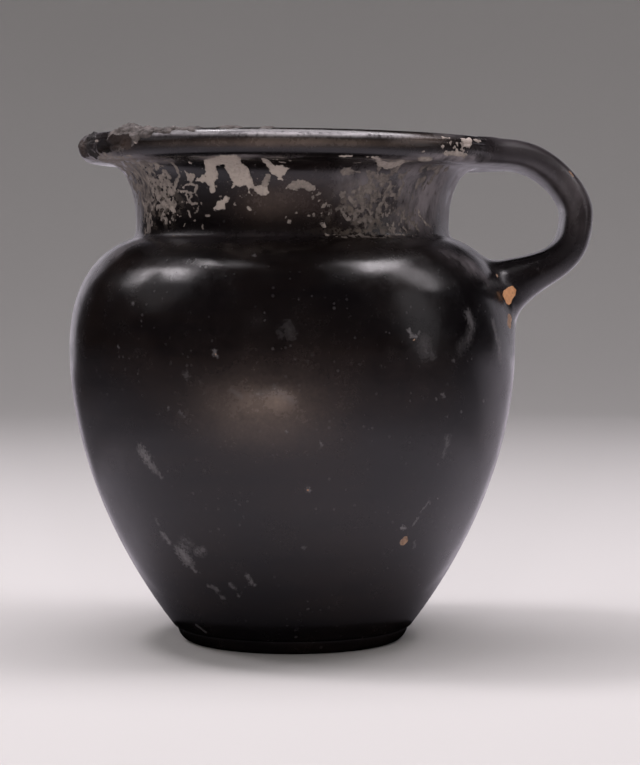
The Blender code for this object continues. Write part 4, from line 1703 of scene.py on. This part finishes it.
@dataclass(frozen=True)
class Earth:
    """A matt, gritty finish: lime, crust, bare clay or a stained break.

    Attributes:
        name: the material's name.
        light: its lighter colour.
        dark: its darker colour.
        grain: how fine its grit is, per metre.
        relief: how far the grit stands out.
        specks: the colour of its specks.
        speck_amount: how many of its cells hold a speck.
        matt: its roughness.
        thinned_by: the attribute that tells where it is thick and pale, if it has one.
    """

    name: str
    light: Tone
    dark: Tone
    grain: float
    relief: float
    specks: Tone
    speck_amount: float
    matt: float = 0.88
    thinned_by: str = ""

    def build(self, groups: NodeGroups) -> bpy.types.Material:
        """Makes the material from the shared groups."""
        material, board, shader, where = new_material(self.name)
        grit = use_group(board, groups.grit, Vector=where, Scale=self.grain)
        slow = board.ramp(board.cloud(where, self.grain * 0.22, 3.0), 0.35, 0.65)
        mix = board.mixed(grit.outputs["Mask"], 0.6, slow, 0.4)
        if self.thinned_by:
            thin = board.attribute(self.thinned_by, "Fac")
            mix = board.plus(board.times(thin, 0.82), board.times(mix, 0.34), clamp=True)
            mix = board.minus(mix, 0.11, clamp=True)
        colour = board.blend(mix, self.dark.rgba(), self.light.rgba())
        speck = use_group(board, groups.speckle, Vector=where, Scale=self.grain * 1.6, Amount=self.speck_amount)
        colour = board.blend(board.times(speck.outputs["Mask"], 0.7), colour, self.specks.rgba())
        board.feed(shader.inputs["Base Color"], colour)
        roughness = board.ramp(grit.outputs["Mask"], 0.0, 1.0, self.matt - 0.15, self.matt)
        board.feed(shader.inputs["Roughness"], roughness)
        bump = board.node("ShaderNodeBump")
        bump.inputs["Strength"].default_value = 0.7
        bump.inputs["Distance"].default_value = self.relief
        board.feed(bump.inputs["Height"], grit.outputs["Height"])
        board.feed(shader.inputs["Normal"], bump.outputs["Normal"])
        return material


LIME = Earth(
    "lime", Tone(0.50, 0.43, 0.385), Tone(0.060, 0.050, 0.046), 1100.0, 0.10 * MM,
    Tone(0.17, 0.14, 0.12), 0.08, thinned_by="chalk",
)
CLAY = Earth(
    "bare_clay", Tone(0.72, 0.38, 0.19), Tone(0.50, 0.24, 0.115), 1500.0, 0.08 * MM,
    Tone(0.25, 0.13, 0.08), 0.08,
)
DUSTY_CLAY = Earth(
    "dusty_clay", Tone(0.47, 0.315, 0.225), Tone(0.22, 0.135, 0.095), 1700.0, 0.10 * MM,
    Tone(0.10, 0.07, 0.05), 0.10,
)
BREAK = Earth(
    "stained_break", Tone(0.066, 0.045, 0.037), Tone(0.011, 0.009, 0.0095), 900.0, 0.15 * MM,
    Tone(0.10, 0.085, 0.078), 0.08, thinned_by="brown",
)
CRUST = Earth(
    "crust", Tone(0.145, 0.125, 0.118), Tone(0.030, 0.0255, 0.024), 1000.0, 0.2 * MM,
    Tone(0.30, 0.28, 0.26), 0.10,
)


# ---------------------------------------------------------------- studio


@dataclass
class SoftLight:
    """A soft box that looks at the vessel.

    Attributes:
        name: its name.
        turn: where it stands round the vessel, in degrees from the handle.
        rise: how high it stands, in degrees above level.
        distance: how far away it stands.
        size: its width and height.
        brightness: how bright its face is.
        tint: its colour.
        mirrored: whether the gloss mirrors it.
        spreads: whether it lights what is matt.
        rounded: whether its face is an ellipse.
    """

    name: str
    turn: float
    rise: float
    distance: float
    size: tuple[float, float]
    brightness: float
    tint: tuple[float, float, float] = (1.0, 0.94, 0.98)
    mirrored: bool = True
    spreads: bool = True
    rounded: bool = False

    def build(self, aim: Vector) -> None:
        """Hangs the light and turns it to the vessel."""
        direction = facing(self.turn, self.rise)
        data = bpy.data.lights.new(self.name, "AREA")
        data.shape = "ELLIPSE" if self.rounded else "RECTANGLE"
        data.size, data.size_y = self.size
        data.energy = self.brightness * pi * self.size[0] * self.size[1]
        data.color = self.tint
        lamp = bpy.data.objects.new(self.name, data)
        bpy.context.scene.collection.objects.link(lamp)
        lamp.location = aim + direction * self.distance
        lamp.rotation_euler = direction.to_track_quat("Z", "Y").to_euler()
        lamp.visible_camera = False
        lamp.visible_glossy = self.mirrored
        lamp.visible_diffuse = self.spreads


@dataclass
class Studio:
    """The pale floor with its soft sweep, the lights and the camera."""

    floor_radius: float = 0.75
    sweep: float = 0.9
    paint: Tone = Tone(0.62, 0.61, 0.60)
    card_inner: float = 30 * MM
    card_outer: float = 1200 * MM
    flank: float = 40 * MM

    def ring(self, name: str, radius: float, line: np.ndarray, fill: str) -> bpy.types.Object:
        """A round sheet, made by drawing the edge of a circle out ring by ring.

        Args:
            name: its name.
            radius: the radius of the first circle.
            line: the (radius, height) of each further ring.
            fill: NGON for a closed middle, NOTHING for an open one.

        Returns:
            The sheet.
        """
        bpy.ops.mesh.primitive_circle_add(vertices=96, radius=radius, fill_type=fill, location=(0, 0, line[0][1]))
        sheet = bpy.context.object
        sheet.name = name
        bpy.ops.object.transform_apply(location=True, rotation=True, scale=True)
        mesh = begin_edit(sheet, "EDGE")
        bpy.ops.mesh.select_all(action="SELECT" if fill == "NOTHING" else "DESELECT")
        for edge in mesh.edges:
            edge.select_set(True)
        bmesh.update_edit_mesh(sheet.data)
        before = (radius, line[0][1])
        for r1, z1 in line:
            bpy.ops.mesh.extrude_edges_move(TRANSFORM_OT_translate={"value": (0.0, 0.0, z1 - before[1])})
            grow = r1 / before[0]
            bpy.ops.transform.resize(value=(grow, grow, 1.0), center_override=(0.0, 0.0, z1))
            before = (r1, z1)
        bpy.ops.mesh.select_all(action="SELECT")
        bpy.ops.mesh.normals_make_consistent(inside=True)
        end_edit()
        sheet.data.shade_smooth()
        return sheet

    def build_floor(self) -> bpy.types.Object:
        """A round floor that sweeps up into a low wall all round."""
        bend = arc((self.floor_radius, self.sweep), self.sweep, -90, 0, 24)[1:]
        line = np.vstack([(self.floor_radius, 0.0), bend, (self.floor_radius + self.sweep, 1.8)])
        floor = self.ring("studio_floor", self.floor_radius * 0.99, line, "NGON")
        material, board, shader, where = new_material("studio_paint")
        shade = board.ramp(board.cloud(where, 2.0, 2.0), 0.3, 0.7)
        darker = Tone(self.paint.red * 0.98, self.paint.green * 0.98, self.paint.blue * 0.98)
        board.feed(shader.inputs["Base Color"], board.blend(shade, darker.rgba(), self.paint.rgba()))
        shader.inputs["Roughness"].default_value = 0.9
        shader.inputs["Specular IOR Level"].default_value = 0.1
        floor.data.materials.append(material)
        floor.visible_glossy = False
        return floor

    def build_card(self) -> bpy.types.Object:
        """The soft sheen that the gloss mirrors from around its foot, dark right beside it."""
        line = np.array([(radius, 0.2 * MM) for radius in (0.06, 0.12, 0.24, self.card_outer)])
        card = self.ring("sheen_card", self.card_inner, line, "NOTHING")
        material = bpy.data.materials.new("sheen_card")
        material.use_nodes = True
        board = Board(material.node_tree)
        board.tree.nodes.remove(board.tree.nodes["Principled BSDF"])
        where = board.node("ShaderNodeTexCoord").outputs["Object"]
        apart = board.node("ShaderNodeSeparateXYZ")
        board.feed(apart.inputs[0], where)
        radius = board.measure("LENGTH", board.vector("MULTIPLY", where, (1.0, 1.0, 0.0)))
        sideways = board.maths("DIVIDE", apart.outputs["X"], radius)
        backwards = board.maths("DIVIDE", apart.outputs["Y"], radius)
        near = board.ramp(radius, 0.020, 0.076)
        far = board.times(board.ramp(radius, 0.13, 0.20, 1.0, 0.42), board.ramp(radius, 0.20, 0.48, 1.0, 0.3))
        turned = board.mixed(backwards, 0.883, sideways, 0.469)
        behind = board.ramp(turned, 0.5, 0.9)
        veiled = board.ramp(backwards, 0.0, 0.7, 1.0, 0.68)
        right = board.ramp(sideways, -0.9, 0.9, 0.66, 0.80)
        beside = board.node("ShaderNodeCombineXYZ")  # how far a place lies out past the flank
        board.feed(beside.inputs["X"], board.minus(board.maths("ABSOLUTE", apart.outputs["X"]), self.flank))
        board.feed(beside.inputs["Y"], apart.outputs["Y"])
        grazing = board.measure("DOT_PRODUCT", board.vector("NORMALIZE", beside.outputs[0]), (0.309, 0.951, 0.0))
        outline = board.ramp(grazing, 0.980, 0.998, 0.0, 1.6)
        sheen = board.most(board.most(far, behind), outline)
        strength = board.times(board.times(near, sheen), veiled)
        glow = board.node("ShaderNodeEmission")
        glow.inputs["Color"].default_value = (1.0, 0.90, 1.02, 1.0)
        board.feed(glow.inputs["Strength"], board.times(strength, right))
        board.feed(board.tree.nodes["Material Output"].inputs["Surface"], glow.outputs[0])
        card.data.materials.append(material)
        card.visible_camera = False
        card.visible_diffuse = False
        card.visible_shadow = False
        return card

    def lights(self) -> list[SoftLight]:
        """The soft boxes: one above, a strip on each side, a panel on each side behind, and a fill in front."""
        pale, cool = (1.0, 0.94, 0.98), (1.0, 0.93, 1.03)
        return [
            SoftLight("above", 90, 86, 0.75, (0.60, 0.34), 5.5, pale),
            SoftLight("left_strip", 183, 48, 0.70, (0.19, 0.12), 9.0, pale, rounded=True),
            SoftLight("left_strip_middle", 166, 37, 0.70, (0.10, 0.24), 4.5, pale, rounded=True),
            SoftLight("left_strip_top", 172, 67.0, 0.70, (0.12, 0.13), 30.0, pale, rounded=True),
            SoftLight("left_halo", 192, 34, 0.74, (0.34, 0.42), 0.28, pale, rounded=True),
            SoftLight("right_strip", 358, 61.5, 0.70, (0.34, 0.15), 8.0, pale, rounded=True),
            SoftLight("right_strip_low", 358, 44, 0.70, (0.20, 0.34), 2.3, pale, rounded=True),
            SoftLight("right_halo", 338, 17, 0.74, (0.26, 0.56), 0.52, pale, rounded=True),
            SoftLight("left_back", 109, 8, 0.62, (0.40, 0.27), 0.75, cool, spreads=False),
            SoftLight("right_back", 62.5, 8, 0.62, (0.65, 0.27), 0.52, cool, spreads=False),
            SoftLight("front_fill", 262, 16, 0.90, (0.5, 0.4), 3.2, (1.0, 0.95, 0.92), mirrored=False),
        ]

    def build_world(self) -> None:
        """A dim even world."""
        world = bpy.data.worlds.new("studio")
        world.use_nodes = True
        background = world.node_tree.nodes["Background"]
        background.inputs["Color"].default_value = (1.0, 0.99, 1.0, 1.0)
        background.inputs["Strength"].default_value = 0.16
        world.cycles_visibility.glossy = False
        bpy.context.scene.world = world

    def build_camera(self) -> None:
        """A long lens a little below the lip's height, tipped slightly down."""
        data = bpy.data.cameras.new("camera")
        data.lens = 108.2
        data.sensor_width = 36.0
        data.clip_start = 0.01
        data.clip_end = 20.0
        camera = bpy.data.objects.new("camera", data)
        bpy.context.scene.collection.objects.link(camera)
        camera.location = (6.05 * MM, -507.7 * MM, 82.58 * MM)
        camera.rotation_euler = (radians(90 - 2.925), 0.0, 0.0)
        bpy.context.scene.camera = camera

    def build(self) -> None:
        """Sets up everything round the vessel."""
        self.build_world()
        self.build_floor()
        self.build_card()
        for light in self.lights():
            light.build(Vector((0.0, 0.0, 0.07)))
        self.build_camera()
        bpy.context.scene.view_settings.view_transform = "Standard"


# ---------------------------------------------------------------- putting it together


@dataclass
class Olpe:
    """The whole vessel: body, strap handle, damage, wear with painted highlight and sheen, and lime."""

    form: Form
    groups: NodeGroups

    def build(self) -> list[bpy.types.Object]:
        """Models and dresses the vessel.

        Returns:
            Its pieces.
        """
        coats = [finish.build(self.groups) for finish in (BlackGloss(), CLAY, BREAK, CRUST, DUSTY_CLAY)]
        deselect_all()
        body = ThrownBody(self.form).build()
        give_coats(body, coats, Coat.GLOSS)
        LOG.info("thrown body: %d faces", len(body.data.polygons))
        handle = StrapHandle(self.form)
        strap = handle.build()
        give_coats(strap, coats, Coat.CLAY)
        LOG.info("strap: %d faces", len(strap.data.polygons))
        vessel = handle.lute(body, strap)
        set_points(vessel, self.form.sag(points_of(vessel)))
        LOG.info("luted vessel: %d faces", len(vessel.data.polygons))
        Damage(self.form).apply(vessel, coats)
        LOG.info("with its damage: %d faces", len(vessel.data.polygons))
        vessel.name = "olpe_vessel"
        WearAndSheen(self.form).apply(vessel)
        Rubs(self.form).apply(vessel)
        make_active(vessel)
        bpy.ops.object.shade_smooth_by_angle(angle=radians(SMOOTH_BELOW))
        lime = LimeDeposit(self.form).build(vessel)
        lime.data.materials.append(LIME.build(self.groups))
        LOG.info("lime: %d faces", len(lime.data.polygons))
        for piece in (vessel, lime):
            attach(piece, "root")
        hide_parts("olpe")
        return [vessel, lime]


def main() -> None:
    """Builds the vessel and the studio, and notes their sizes."""
    logging.basicConfig(level=logging.INFO, format="%(name)s: %(message)s")
    form = Form()
    pieces = Olpe(form, NodeGroups()).build()
    for piece in pieces:
        triangles = sum(len(face.vertices) - 2 for face in piece.data.polygons)
        LOG.info("%s: %d triangles", piece.name, triangles)
    Studio().build()
    deselect_all()
    bpy.context.view_layer.update()


if __name__ == "__main__":
    main()
